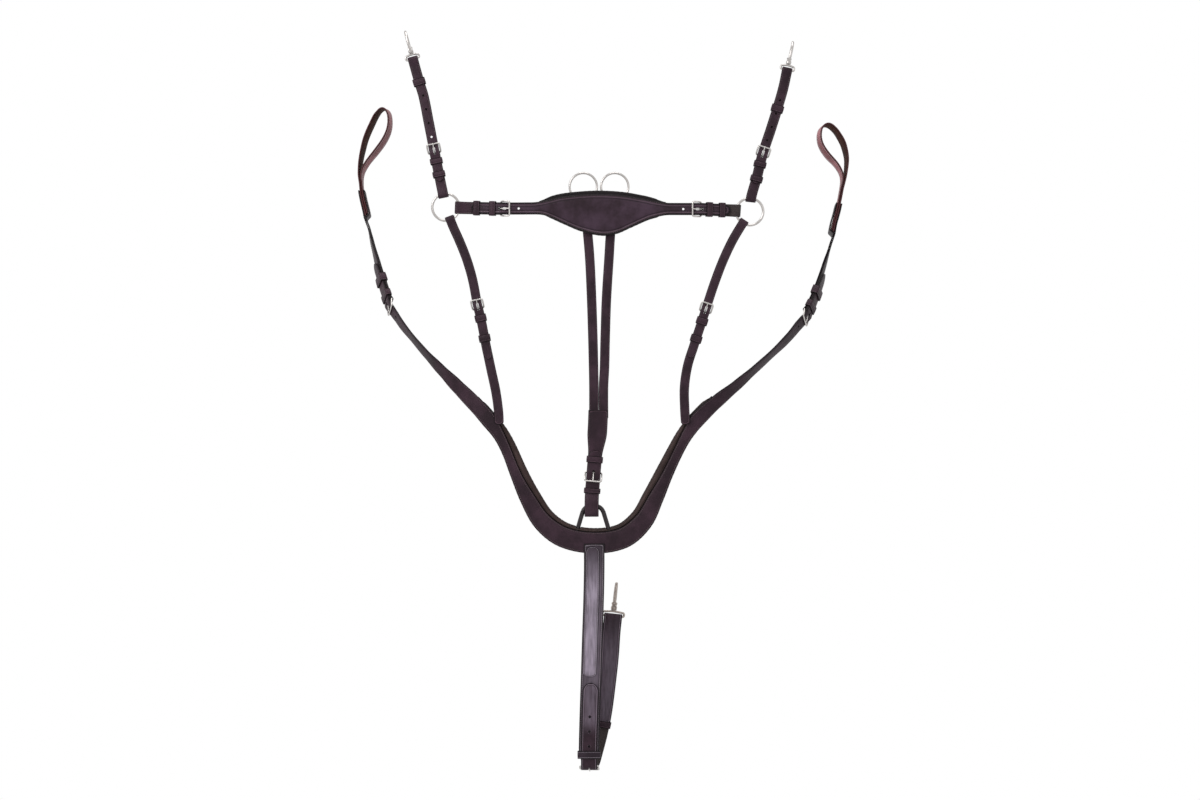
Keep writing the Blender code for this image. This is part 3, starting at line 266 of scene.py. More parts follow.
HAVANA_DYE = (0.017, 0.0085, 0.0125), (0.042, 0.021, 0.031)
POLISHED_DYE = (0.018, 0.011, 0.016), (0.040, 0.026, 0.036)
HAVANA = leather("havana_bridle_leather", *HAVANA_DYE, (0.13, 0.072, 0.095), 0.44)
# A lighter, more purple copy of the havana leather for the bridge face: painted sheen.
BRIDGE_SHEEN_HAVANA = leather("bridge_face_leather_painted_sheen", (0.019, 0.0095, 0.0135), (0.052, 0.030, 0.046),
                        (0.115, 0.075, 0.095), 0.40)
# The belly strap, its ridge and the hook strap carry a painted sheen between two heights, and light edge
# lines that are burnish and painted highlight.
BELLY_HAVANA = leather("sheen_painted_belly_leather", *POLISHED_DYE, (0.34, 0.29, 0.33), 0.42,
                       painted_sheen=(0.55, (0.20, 0.165, 0.20), -0.745, -0.515))
RIDGE_HAVANA = leather("sheen_painted_ridge_leather", *POLISHED_DYE, (0.36, 0.31, 0.36), 0.40,
                       painted_sheen=(0.95, (0.37, 0.315, 0.38), -0.725, -0.53))
HOOK_HAVANA = leather("sheen_painted_hook_strap_leather", *HAVANA_DYE, (0.26, 0.20, 0.24), 0.42,
                      painted_sheen=(0.75, (0.15, 0.12, 0.15), -0.80, -0.63))
FLESH = suede("havana_flesh_side", (0.016, 0.010, 0.009), (0.040, 0.027, 0.025))
PADDED = leather("padded_lining_leather", (0.005, 0.0035, 0.004), (0.010, 0.007, 0.008),
                 (0.014, 0.009, 0.010), 0.60, 0.75, 0.0)
# A lighter brown copy of the padded lining for the collar's roll: painted highlight where the light catches
# the roll.
COLLAR_LIT_PADDED = leather("padded_roll_leather_painted_highlight", (0.024, 0.0135, 0.012), (0.055, 0.034, 0.031),
                        (0.06, 0.04, 0.035), 0.50, 0.7, 0.0)
# The loops' outer face has a very light edge line: burnish, and mostly painted highlight along the rib.
LOOP_OUTSIDE = leather("brown_loop_leather", (0.16, 0.040, 0.044), (0.36, 0.125, 0.140), (0.80, 0.58, 0.61),
                       0.40)
LOOP_INSIDE = leather("brown_loop_inside", (0.030, 0.008, 0.005), (0.085, 0.026, 0.015), (0.09, 0.03, 0.02),
                      0.72, 0.8, 0.0)
ROLLED = leather("rolled_chest_leather", (0.012, 0.008, 0.009), (0.020, 0.013, 0.015), (0.05, 0.03, 0.03),
                 0.30, 0.35, 0.4)
STEEL = polished("bright_steel", (0.50, 0.475, 0.46), 0.22)
AGED_STEEL = polished("aged_steel", (0.36, 0.31, 0.28), 0.28)
THREAD = thread("waxed_thread")


# Lines, laws and routes
def arc(centre, radius, start, end):
    """Points of a round bend, angles in degrees from the along direction."""
    turns = [radians(start + (end - start) * i / ARC_PIECES) for i in range(ARC_PIECES + 1)]
    return [(centre + radius * cos(a), radius * sin(a)) for a in turns]


class Law:
    """A value that runs smoothly through chosen sizes along a length."""

    def __init__(self, *pairs):
        self.pairs = sorted(pairs)
        self.slopes = [0.0] * len(pairs)
        for i in range(1, len(pairs) - 1):
            (u0, a), (u1, b), (u2, c) = self.pairs[i - 1:i + 2]
            if (b - a) * (c - b) > 0:
                self.slopes[i] = (c - a) / (u2 - u0)

    def __call__(self, u):
        pairs = self.pairs
        if u <= pairs[0][0]:
            return pairs[0][1]
        for i, (u1, b) in enumerate(pairs[1:]):
            if u <= u1:
                u0, a = pairs[i]
                wide, t = u1 - u0, (u - u0) / (u1 - u0)
                bend = self.slopes[i] * (1 - t) * (1 - t) * t - self.slopes[i + 1] * t * t * (1 - t)
                return a + (b - a) * t * t * (3 - 2 * t) + bend * wide
        return pairs[-1][1]


def eased(points, pieces, closed=False):
    """A smooth line through points, which may carry more values than a place."""
    count = len(points)
    spans = count if closed else count - 1
    out = []
    for i in range(spans):
        if closed:
            a, b, c, d = (points[(i + k) % count] for k in (-1, 0, 1, 2))
        else:
            a, b, c, d = (points[min(max(i + k, 0), count - 1)] for k in (-1, 0, 1, 2))
        for k in range(pieces):
            t = k / pieces
            out.append(tuple(0.5 * (2 * q + (r - p) * t + (2 * p - 5 * q + 4 * r - s) * t * t
                                    + (3 * q - p - 3 * r + s) * t ** 3) for p, q, r, s in zip(a, b, c, d)))
    if not closed:
        out.append(tuple(points[-1]))
    return out


class Route:
    """A smooth line through chosen points. The leather's outward side is given at each, or is the front."""

    def __init__(self, knots, outward=None):
        knots = [Vector(k) for k in knots]
        outward = [Vector(o).normalized() for o in outward or [FRONT] * len(knots)]
        chords = [(b - a).length for a, b in zip(knots, knots[1:])]
        slopes = []
        for i in range(len(knots)):
            lo, hi = max(i - 1, 0), min(i + 1, len(knots) - 1)
            slopes.append((knots[hi] - knots[lo]) / sum(chords[lo:hi]))
        self.places, self.outs, self.marks = [knots[0]], [outward[0]], [0.0]
        self.knot_marks = [0.0]
        for i, chord in enumerate(chords):
            for step in range(1, ROUTE_STEPS + 1):
                t = step / ROUTE_STEPS
                place = ((1 + 2 * t) * (1 - t) ** 2 * knots[i] + t * (1 - t) ** 2 * chord * slopes[i]
                         + t * t * (3 - 2 * t) * knots[i + 1] + t * t * (t - 1) * chord * slopes[i + 1])
                self.marks.append(self.marks[-1] + (place - self.places[-1]).length)
                self.places.append(place)
                self.outs.append(outward[i].lerp(outward[i + 1], t * t * (3 - 2 * t)))
            self.knot_marks.append(self.marks[-1])
        self.length = self.marks[-1]

    def spot(self, u):
        """Place and outward side at a length u, also a little past the ends."""
        if u <= 0:
            way = (self.places[1] - self.places[0]).normalized()
            return self.places[0] + way * u, self.outs[0]
        if u >= self.length:
            way = (self.places[-1] - self.places[-2]).normalized()
            return self.places[-1] + way * (u - self.length), self.outs[-1]
        i = min(bisect.bisect_right(self.marks, u), len(self.marks) - 1)
        t = (u - self.marks[i - 1]) / (self.marks[i] - self.marks[i - 1])
        return self.places[i - 1].lerp(self.places[i], t), self.outs[i - 1].lerp(self.outs[i], t)

    def axes(self, u):
        """Place, along, across and outward directions at a length u."""
        place, out = self.spot(u)
        along = (self.spot(u + 3.0)[0] - self.spot(u - 3.0)[0]).normalized()
        out = (out - along * out.dot(along)).normalized()
        return place, along, out.cross(along), out

    def at(self, u, b=0.0, w=0.0):
        """The place at u along, b across and w outward."""
        place, _, across, out = self.axes(u)
        return place + across * b + out * w

    def nearest(self, place):
        """The length at which the route passes closest to a place."""
        place = Vector(place)
        best = min(range(len(self.places)), key=lambda i: (self.places[i] - place).length)
        return self.marks[best]


# Pieces
def in_scene(name, mesh):
    """A new object with a mesh's shape."""
    data = bpy.data.meshes.new(name)
    mesh.to_mesh(data)
    mesh.free()
    obj = bpy.data.objects.new(name, data)
    bpy.context.collection.objects.link(obj)
    return obj


def add(name, mesh, materials, body=ROOT, node=None, smooth=42):
    """A finished piece that rides on a body and may stand for a solid of the model."""
    obj = in_scene(name, mesh)
    obj.data.shade_smooth()
    obj.data.set_sharp_from_angle(angle=radians(smooth))
    for material in materials:
        obj.data.materials.append(material)
    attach(obj, body)
    if node:
        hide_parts(node)
    return obj


def add_steel(node, mesh, body=ROOT, metal=STEEL):
    add(f"{node}_polished", mesh, [metal], body, node)


def skin(rows, ring=False, rims=None, sides=None):
    """A mesh through closed rows of points. ring joins the last row to the first.

    rims gives each row's points their distance from the leather's edge, and sides each span its material.
    """
    rows = [[*row, row[0]] for row in rows]
    if ring:
        rows.append(rows[0])
    along, across = len(rows) - 1, len(rows[0]) - 1
    mesh = bmesh.new()
    bmesh.ops.create_grid(mesh, x_segments=along, y_segments=across, size=1.0)
    rim = mesh.verts.layers.float.new("rim")
    for vert in mesh.verts:
        i, j = round((vert.co.x + 1) / 2 * along), round((vert.co.y + 1) / 2 * across)
        vert.co = Vector(rows[i][j]) * MM
        vert[rim] = rims[i % len(rims)][j % len(rims[0])] if rims else 9.0
        vert.index = i * (across + 1) + j
    if sides:
        for face in mesh.faces:
            face.material_index = sides[min(v.index % (across + 1) for v in face.verts)]
    bmesh.ops.remove_doubles(mesh, verts=mesh.verts, dist=1e-6)
    bmesh.ops.holes_fill(mesh, edges=[e for e in mesh.edges if e.is_boundary], sides=0)
    bmesh.ops.recalc_face_normals(mesh, faces=mesh.faces)
    return mesh


def joined(meshes):
    """Several meshes brought into one."""
    whole = bmesh.new()
    for mesh in meshes:
        part = bpy.data.meshes.new("part")
        mesh.to_mesh(part)
        mesh.free()
        whole.from_mesh(part)
        bpy.data.meshes.remove(part)
    return whole


def cut(obj, mesh):
    """Cut a mesh out of a piece for good."""
    helper = in_scene("cutter", mesh)
    step = obj.modifiers.new("cut", "BOOLEAN")
    step.operation, step.solver, step.object = "DIFFERENCE", "EXACT", helper
    deps = bpy.context.evaluated_depsgraph_get()
    shaped = bpy.data.meshes.new_from_object(obj.evaluated_get(deps))
    obj.modifiers.clear()
    obj.data = shaped
    data = helper.data
    bpy.data.objects.remove(helper)
    bpy.data.meshes.remove(data)


def circles(path, radii, sides, closed, out):
    """Rings of points round a path, square to it and kept from twisting."""
    path = [Vector(p) for p in path]
    rings, side = [], None
    for i, place in enumerate(path):
        before = path[i - 1] if closed or i else path[0]
        after = path[(i + 1) % len(path)] if closed or i < len(path) - 1 else path[-1]
        way = (after - before).normalized()
        if side is None:
            side = Vector(out) if out else way.orthogonal()
        side = (side - way * side.dot(way)).normalized()
        other = way.cross(side)
        turns = [2 * pi * (k + 0.5) / sides for k in range(sides)]
        rings.append([place + (side * cos(a) + other * sin(a)) * radii[i] for a in turns])
    return rings


def wire(path, radius, sides=14, *, out, closed=False, dome=False):
    """A round bar along a path of points. radius may be a list, one value for each. dome rounds its ends."""
    path = [Vector(p) for p in path]
    radii = list(radius) if isinstance(radius, (list, tuple)) else [radius] * len(path)
    if dome:
        ends = []
        for tip, inner, r in ((path[0], path[1], radii[0]), (path[-1], path[-2], radii[-1])):
            way = (tip - inner).normalized()
            ends.append([(tip + way * r * sin(a), r * cos(a)) for a in map(radians, (30, 55, 75, 86))])
        path = [p for p, _ in ends[0][::-1]] + path + [p for p, _ in ends[1]]
        radii = [r for _, r in ends[0][::-1]] + radii + [r for _, r in ends[1]]
    return skin(circles(path, radii, sides, closed, out), ring=closed)


def rounded(corners, bends, pieces):
    """A closed path: a polygon with its corners turned into bends, of one reach or of one for each."""
    corners = [Vector(c) for c in corners]
    bends = bends if isinstance(bends, tuple) else (bends,) * len(corners)
    path = []
    for i, corner in enumerate(corners):
        before, after = (corners[i - 1] - corner), (corners[(i + 1) % len(corners)] - corner)
        start, end = corner + before.normalized() * bends[i], corner + after.normalized() * bends[i]
        for t in (k / pieces for k in range(pieces + 1)):
            path.append((1 - t) ** 2 * start + 2 * t * (1 - t) * corner + t * t * end)
    return path


def block(route, u_span, b_span, w_span, parts):
    """A box laid along a route, for slots."""
    (b0, b1), (w0, w1) = b_span, w_span
    us = [u_span[0] + (u_span[1] - u_span[0]) * i / parts for i in range(parts + 1)]
    return skin([[route.at(u, b, w) for b, w in ((b1, w1), (b0, w1), (b0, w0), (b1, w0))] for u in us])


def peg(route, u, w_span):
    """A round bar square to the strap, for punched holes."""
    place, along, across, out = route.axes(u)
    turns = [2 * pi * k / 16 for k in range(16)]
    ring = [(along * cos(a) + across * sin(a)) * HOLE_SIZE / 2 for a in turns]
    return skin([[place + out * w + point for point in ring] for w in w_span])


# Leather
def softened(line):
    """The side view of a strap with its corners eased, as points about 1 mm apart."""
    fine = []
    for (u0, w0), (u1, w1) in zip(line, line[1:]):
        parts = max(1, ceil(hypot(u1 - u0, w1 - w0) / 0.8))
        fine += [(u0 + (u1 - u0) * k / parts, w0 + (w1 - w0) * k / parts) for k in range(parts)]
    fine.append(line[-1])
    out = []
    for i in range(len(fine)):
        span = min(2, i, len(fine) - 1 - i)
        near = fine[i - span:i + span + 1]
        out.append((sum(u for u, _ in near) / len(near), sum(w for _, w in near) / len(near)))
    return out


class Strap:
    """The side view of a strap and its width: a number, a law or a function that gives both edges."""

    def __init__(self, route, line, edges, thick, start_tip=0.0, end_tip=0.0, step=4.0):
        self.route, self.thick, self.step = route, thick, step
        self.start_tip, self.end_tip = start_tip, end_tip
        width = edges if callable(edges) else Law((0.0, edges))
        self.edges = (lambda u: (-width(u) / 2, width(u) / 2)) if isinstance(width, Law) else edges
        self.line = softened(line)
        self.travel = [0.0]
        for (u0, w0), (u1, w1) in zip(self.line, self.line[1:]):
            self.travel.append(self.travel[-1] + hypot(u1 - u0, w1 - w0))
        self.length = self.travel[-1]

    def point(self, d):
        i = min(max(bisect.bisect_right(self.travel, d), 1), len(self.travel) - 1)
        t = (d - self.travel[i - 1]) / (self.travel[i] - self.travel[i - 1])
        return tuple(a + (b - a) * t for a, b in zip(self.line[i - 1], self.line[i]))

    def lean(self, d):
        """Direction of the side view at a travel d."""
        (u0, w0), (u1, w1) = self.point(max(d - 0.5, 0.0)), self.point(min(d + 0.5, self.length))
        reach = hypot(u1 - u0, w1 - w0)
        return (u1 - u0) / reach, (w1 - w0) / reach

    def stations(self):
        """Travels: close together where the strap bends or ends, and a step apart elsewhere."""
        tips = [0.004, 0.02, 0.05, 0.1, 0.17, 0.26, 0.37, 0.5, 0.65, 0.82, 1.0]
        wanted = {0.0, 0.3, self.length - 0.3, self.length}
        wanted |= {self.start_tip * t for t in tips if self.start_tip}
        wanted |= {self.length - self.end_tip * t for t in tips if self.end_tip}
        last, d = 0.0, 0.0
        before = self.lean(0.0)
        while d < self.length:
            now = self.lean(d)
            bend = abs(now[0] * before[1] - now[1] * before[0])
            if bend > 0.12 or d - last >= self.step:
                wanted.add(d)
                last, before = d, now
            d += 0.4
        kept = [0.0]
        for value in sorted(wanted):
            if value - kept[-1] > 0.02:
                kept.append(value)
        return kept

    def share(self, d):
        """How much of the width is left near a rounded end."""
        share = 1.0
        for tip, room in ((self.start_tip, d), (self.end_tip, self.length - d)):
            if tip and room < tip:
                share = min(share, max(0.08, sqrt(max(0.0, 1 - (1 - room / tip) ** 2))))
        return share

    def spread(self, d):
        """The low and high edge at a travel d."""
        low, high = self.edges(self.point(d)[0])
        middle, half = (low + high) / 2, (high - low) / 2 * self.share(d)
        return middle - half, middle + half

    def place(self, d, b, h):
        """The place at a travel, b across and h out from the strap's middle layer."""
        (u, w), (tu, tw) = self.point(d), self.lean(d)
        return self.route.at(u - tw * h, b, w + tu * h)

    def travel_at(self, u):
        """The travel at which the strap's outer layer passes a length u of its route."""
        outer = [(abs(x - u), travel) for (x, w), travel in zip(self.line, self.travel)
                 if w > 0 or abs(w) < 0.01]
        return min(outer)[1]


def section(low, high, thick, crease):
    """Points round a strap's section: (across, out, distance from the edge), grain side first."""
    half = (high - low) / 2
    middle = (low + high) / 2
    side = thick / 2
    edge = min(0.45 * thick, half * 0.5)
    line = min(crease, half * 0.62)
    grain = [(half - edge, side, edge), (half - line + 0.45, side, line - 0.45),
             (half - line, side - 0.22, line), (half - line - 0.45, side, line + 0.45),
             (half * 0.35, side, half * 0.65), (0.0, side, half)]
    grain += [(-b, w, r) for b, w, r in grain[-2::-1]]
    rim = [(half - edge + edge * cos(a), side * sin(a), 0.0) for a in map(radians, (60, 25, -10, -50))]
    flesh = [(half - edge, -side, edge), (0.0, -side, half), (-half + edge, -side, edge)]
    points = rim[2::-1] + grain + [(-b, w, r) for b, w, r in rim] + flesh[::-1] + [rim[3]]
    return [(middle + b, w, r) for b, w, r in points]


def leather_strap(strap, node=None, name=None, crease=1.9, materials=(HAVANA, FLESH), slot="havana_leather"):
    """A strap of leather with rounded, creased edges and a napped flesh side."""
    rows, rims = [], []
    for d in strap.stations():
        points = section(*strap.spread(d), strap.thick, crease)
        rows.append([strap.place(d, b, h) for b, h, _ in points])
        rims.append([min(r, d + 0.2, strap.length - d + 0.2) * 1.9 / crease for *_, r in points])
    sides = [0] * (len(rims[0]) - 5) + [1, 1, 1, 1, 0]
    mesh = skin(rows, rims=rims, sides=sides)
    return add(name or f"{node}_stitched", mesh, materials, node=node)


stitch_rows = []


def sew_row(strap, start, end, spot):
    """A row of stitches from start to end. spot gives the travel and the place across for a value."""
    count = max(1, round((end - start) / STITCH_PITCH))
    for k in range(count):
        spots = [spot(start + (end - start) * (k + f) / count) for f in STITCH_SHOWS]
        out = strap.route.axes(strap.point(spots[0][0])[0])[3]
        stitch_rows.append((*(strap.place(*s, strap.thick / 2 + STITCH_LIFT) for s in spots), out))


def sew(strap, start, end):
    """Stitches along a strap's edges, from one travel to another."""
    sew_row(strap, start, end, lambda d: (d, strap.spread(d)[0] + STITCH_INSET))
    sew_row(strap, start, end, lambda d: (d, strap.spread(d)[1] - STITCH_INSET))


def sew_span(strap, u0, u1):
    """Stitches along both edges of the outer layer between two lengths of the route."""
    sew(strap, *sorted((strap.travel_at(u0), strap.travel_at(u1))))


def sew_across(strap, d):
    """A row of stitches from edge to edge at a travel d."""
    low, high = strap.spread(d)
    sew_row(strap, low + STITCH_INSET, high - STITCH_INSET, lambda b: (d, b))


def stitches(name, rows):
    """Short lengths of thread, each sunk in the leather at both ends."""
    mesh = bmesh.new()
    for a, b, out in rows:
        way = (b - a).normalized()
        out = (out - way * out.dot(way)).normalized()
        side = out.cross(way)
        ring_a, ring_b = ([mesh.verts.new((a + (b - a) * t + out * (0.12 + x) + side * y) * MM)
                           for x, y in ((0.26, 0.0), (0.0, 0.34), (-0.3, 0.0), (0.0, -0.34))]
                          for t in (0.22, 0.78))
        tip_a, tip_b = (mesh.verts.new((p - out * 0.22) * MM) for p in (a, b))
        for k in range(4):
            mesh.faces.new((ring_a[k - 1], ring_a[k], ring_b[k], ring_b[k - 1]))
            mesh.faces.new((tip_a, ring_a[k], ring_a[k - 1]))
            mesh.faces.new((tip_b, ring_b[k - 1], ring_b[k]))
    bmesh.ops.recalc_face_normals(mesh, faces=mesh.faces)
    add(name, mesh, [THREAD], smooth=80)


def keeper_loop(name, route, u, length, width, w_span, body=ROOT, node=None, finish=HAVANA):
    """A leather keeper round a strap's width, with soft corners and creased edges."""
    low, high = w_span
    half, grow, end = width / 2 + CLEAR, KEEPER_THICK / 2, length / 2
    corners = [(half + grow, high + grow, 0), (-half - grow, high + grow, 0), (-half - grow, low - grow, 0),
               (half + grow, low - grow, 0)]
    path = [(p.x, p.y) for p in rounded(corners, 0.8 + grow, 5)]
    outer = [(end - 2.1, grow + 0.02), (end - 1.7, grow - 0.2), (end - 1.3, grow), (end - 0.3, grow)]
    turn = [(end, grow - 0.35), (end, 0.3 - grow), (end - 0.3, -grow)]
    profile = ([(-v, h) for v, h in outer[::-1]] + [(0.0, grow + 0.12)] + outer + turn
               + [(-v, h) for v, h in turn[::-1]])
    rows = []
    for i, (b, w) in enumerate(path):
        b0, w0 = path[i - 1]
        b1, w1 = path[(i + 1) % len(path)]
        size = hypot(b1 - b0, w1 - w0)
        nb, nw = (w1 - w0) / size, -(b1 - b0) / size
        if nb * b + nw * (w - (low + high) / 2) < 0:
            nb, nw = -nb, -nw
        rows.append([route.at(u + v, b + nb * h, w + nw * h) for v, h in profile])
    # Rim distances round the profile: the dark edge of edge paint and painted shade, the light line of
    # burnish and painted highlight, and the crease with painted shade.
    rims = [0.2, 1.3, 1.7, 2.1, 6.0, 2.1, 1.7, 1.3, 0.2, 0.0, 0.0, 2.0, 2.0, 0.0, 0.0]
    add(name, skin(rows, ring=True, rims=[rims]), [finish], body, node=node)


def layered(layer):
    """Height of the opening of a keeper that is sewn to a doubled strap's hidden layer."""
    under = layer + BILLET_THICK / 2
    return 0.5 - under, under + CLEAR


# Rings, folds and buckles
class Ring:
    """A round steel ring that faces the front."""

    def __init__(self, name, centre, bore, wire_thick):
        self.half_wire = wire_thick / 2
        self.radius = bore / 2 + self.half_wire
        normal = Vector(FRONT)
        across = normal.orthogonal().normalized()
        other = normal.cross(across)
        turns = [2 * pi * k / 72 for k in range(72)]
        path = [Vector(centre) + (across * cos(a) + other * sin(a)) * self.radius for a in turns]
        add_steel(name, wire(path, self.half_wire, 16, closed=True, out=normal), f"{name}_turning")

    def sink(self, width):
        """How far a straight fold must sit inside the ring to clear its curve over a strap's width."""
        return self.radius - sqrt(self.radius ** 2 - (width / 2) ** 2) + 2 * CLEAR


def fold_line(cross_u, way, half_bar, thick, layer, sink=0.0, far=None, slack=0.0):
    """Side view of a strap turned round a bar at cross_u, running off towards way."""
    turn = half_bar + CLEAR + thick / 2
    neck = turn + 7.0 + slack
    points = [(neck, layer), (1.0 + slack, turn)] + arc(-sink, turn, 90, 270)
    points += [(1.0 + slack, -turn), (neck, -layer)]
    if far:
        points.append((far, -layer))
    return [(cross_u + way * v, h) for v, h in points]


class Buckle:
    """A single-bar buckle. The chape folds round the heel bar and the billet runs under the far bar."""

    layer = (CHAPE_THICK + FOLD_GAP) / 2
    bar = BAR_THICK / 2
    turn = bar + CLEAR + CHAPE_THICK / 2
    neck = turn + 3.2
    over = layer + CHAPE_THICK / 2 + CLEAR + BILLET_THICK / 2
    crest = turn + CHAPE_THICK / 2 + CLEAR + BILLET_THICK / 2
    far_height = BILLET_DIP + BILLET_THICK / 2 + CLEAR + bar
    slot = (-SLOT_WIDTH / 2, SLOT_WIDTH / 2)

    def __init__(self, name, route, heel, way, width):
        self.name, self.route, self.heel, self.way, self.width = name, route, route.nearest(heel), way, width
        self.half_span = width / 2 + FRAME_SLACK + self.bar
        self.add_frame()
        self.add_tongue()

    def put(self, points):
        return [(self.heel + self.way * v, h) for v, h in points]

    def place(self, v, b, h):
        return self.route.at(self.heel + self.way * v, b, h)

    def add_frame(self):
        """The frame, cast in one with a swollen far bar and slim sides."""
        reach, side, high = FRAME_REACH, self.half_span, self.far_height
        outline = [(0, -side, 0), (0, side, 0), (reach * 0.5, side + 0.25, high * 0.62), (reach, side, high),
                   (reach, -side, high), (reach * 0.5, -side - 0.25, high * 0.62)]
        path = rounded([self.place(*p) for p in outline], 2.7, 5)
        heel = self.place(0, 0, 0)
        outward = (self.place(reach, 0, high) - heel).normalized()
        shares = [max(min(1.0, (p - heel).dot(outward) / hypot(reach, high)), 0.0) for p in path]
        rings = circles(path, [self.bar * (0.94 + 0.12 * share ** 2) for share in shares], 14, True, None)
        add_steel(f"{self.name}_frame", skin(rings, ring=True))

    def add_tongue(self):
        thin = TONGUE_THICK / 2
        curl = self.bar + CLEAR + thin
        lean = atan2(self.far_height, FRAME_REACH)
        back, up = curl * cos(lean + pi / 2), curl * sin(lean + pi / 2)
        tip = (FRAME_REACH + 1.6 * cos(lean) + back, self.far_height + 1.6 * sin(lean) + up)
        points = [(back + (tip[0] - back) * t, up + (tip[1] - up) * t) for t in (1.0, 0.85, 0.6, 0.3, 0.1)]
        turns = [lean + pi / 2 + radians(235) * k / 18 for k in range(19)]
        points += [(curl * cos(a), curl * sin(a)) for a in turns]
        path = [self.place(v, 0.0, h) for v, h in points]
        radii = [thin * 0.62, thin * 0.85, thin * 0.98] + [thin] * (len(points) - 3)
        across = self.route.axes(self.heel)[2]
        add_steel(f"{self.name}_tongue", wire(path, radii, 12, out=across, dome=True), f"{self.name}_pin")

    def heel_line(self, far, near=None):
        """The chape's turn round the heel bar, from its outer layer to its hidden one."""
        points = [(-near, self.layer)] if near else []
        points += [(-self.neck, self.layer)] + arc(0, self.turn, 90, -90)
        return self.put(points + [(-self.neck, -self.layer), (-far, -self.layer)])

    def billet_line(self, tip, rise=0.0):
        """The billet from its tip, over the chape and the heel bar, to just past the far bar."""
        return self.put([(-tip, self.over + rise), (-tip + 20, self.over + rise / 4),
                         (-self.neck - 0.6, self.over), (-0.8, self.crest), (1.0, self.crest),
                         (FRAME_REACH, BILLET_DIP), (FRAME_REACH + 3.0, BILLET_DIP - 0.6)])

    def hooked_line(self, tip, lands, fold):
        """The billet from its tip, through the buckle and doubled round the hook eye at the route's end."""
        eye = fold_line(self.route.length, -1, EYE_WIRE / 2, BILLET_THICK, BILLET_LAYER, far=fold)
        return self.billet_line(tip) + [(self.heel + lands, BILLET_LAYER)] + eye

    def span(self, v0, v1):
        return sorted((self.heel + self.way * v0, self.heel + self.way * v1))

    def chape_line(self, cross_u, ring):
        """A strap folded round a ring and round the heel bar, its ends meeting on the hidden side."""
        gap = abs(self.heel - cross_u)
        fold = fold_line(cross_u, self.way, ring.half_wire, CHAPE_THICK, LAYER, ring.sink(self.width),
                         gap * 0.45)
        return fold[::-1] + self.heel_line(far=gap * 0.5)

    def add_chape(self, strap, node, seam, keepers, keeper_length=0.0, **look):
        """The strap on the heel bar: its tongue slot, the seams along it and the keepers sewn to it."""
        under = (-self.turn - 3, self.turn + 1.2)
        cut(leather_strap(strap, node, **look),
            block(self.route, self.span(-self.neck, self.turn + 3), self.slot, under, 4))
        sew_span(strap, *seam)
        for v in keepers:
            keeper_loop(f"{self.name}_keeper_{round(v)}", self.route, self.heel - self.way * v, keeper_length,
                        self.width, self.keeper_span(True))

    def cut_billet(self, obj, spare=(), deep=-6.0, high=8.0):
        """The hole that the tongue passes, and spare holes at lengths beyond it, cut down to a depth."""
        cut(obj, block(self.route, self.span(-2.8, 8.8), self.slot, (0.4, 9.0), 3))
        if spare:
            cut(obj, joined([peg(self.route, self.heel + self.way * v, (deep, high)) for v in spare]))

    def keeper_span(self, fixed):
        """Height of a keeper's opening. A fixed one is sewn into the chape's hidden layer."""
        under = self.layer + CHAPE_THICK / 2
        low = 0.5 - under if fixed else -under - CLEAR - KEEPER_SLACK / 2
        return low, self.over + BILLET_THICK / 2 + CLEAR + (0.0 if fixed else KEEPER_SLACK)


LAYER = Buckle.layer
BILLET_LAYER = (BILLET_THICK + FOLD_GAP) / 2


# Snap hooks
def turned(origin, up, side, profile, size, segments=28):
    """A shape of revolution round up, from (radius, height) points."""
    other = up.cross(side)
    ways = [side * cos(a) + other * sin(a) for a in (2 * pi * k / segments for k in range(segments))]
    return skin([[origin + way * r * size + up * z * size for r, z in profile] for way in ways], ring=True)


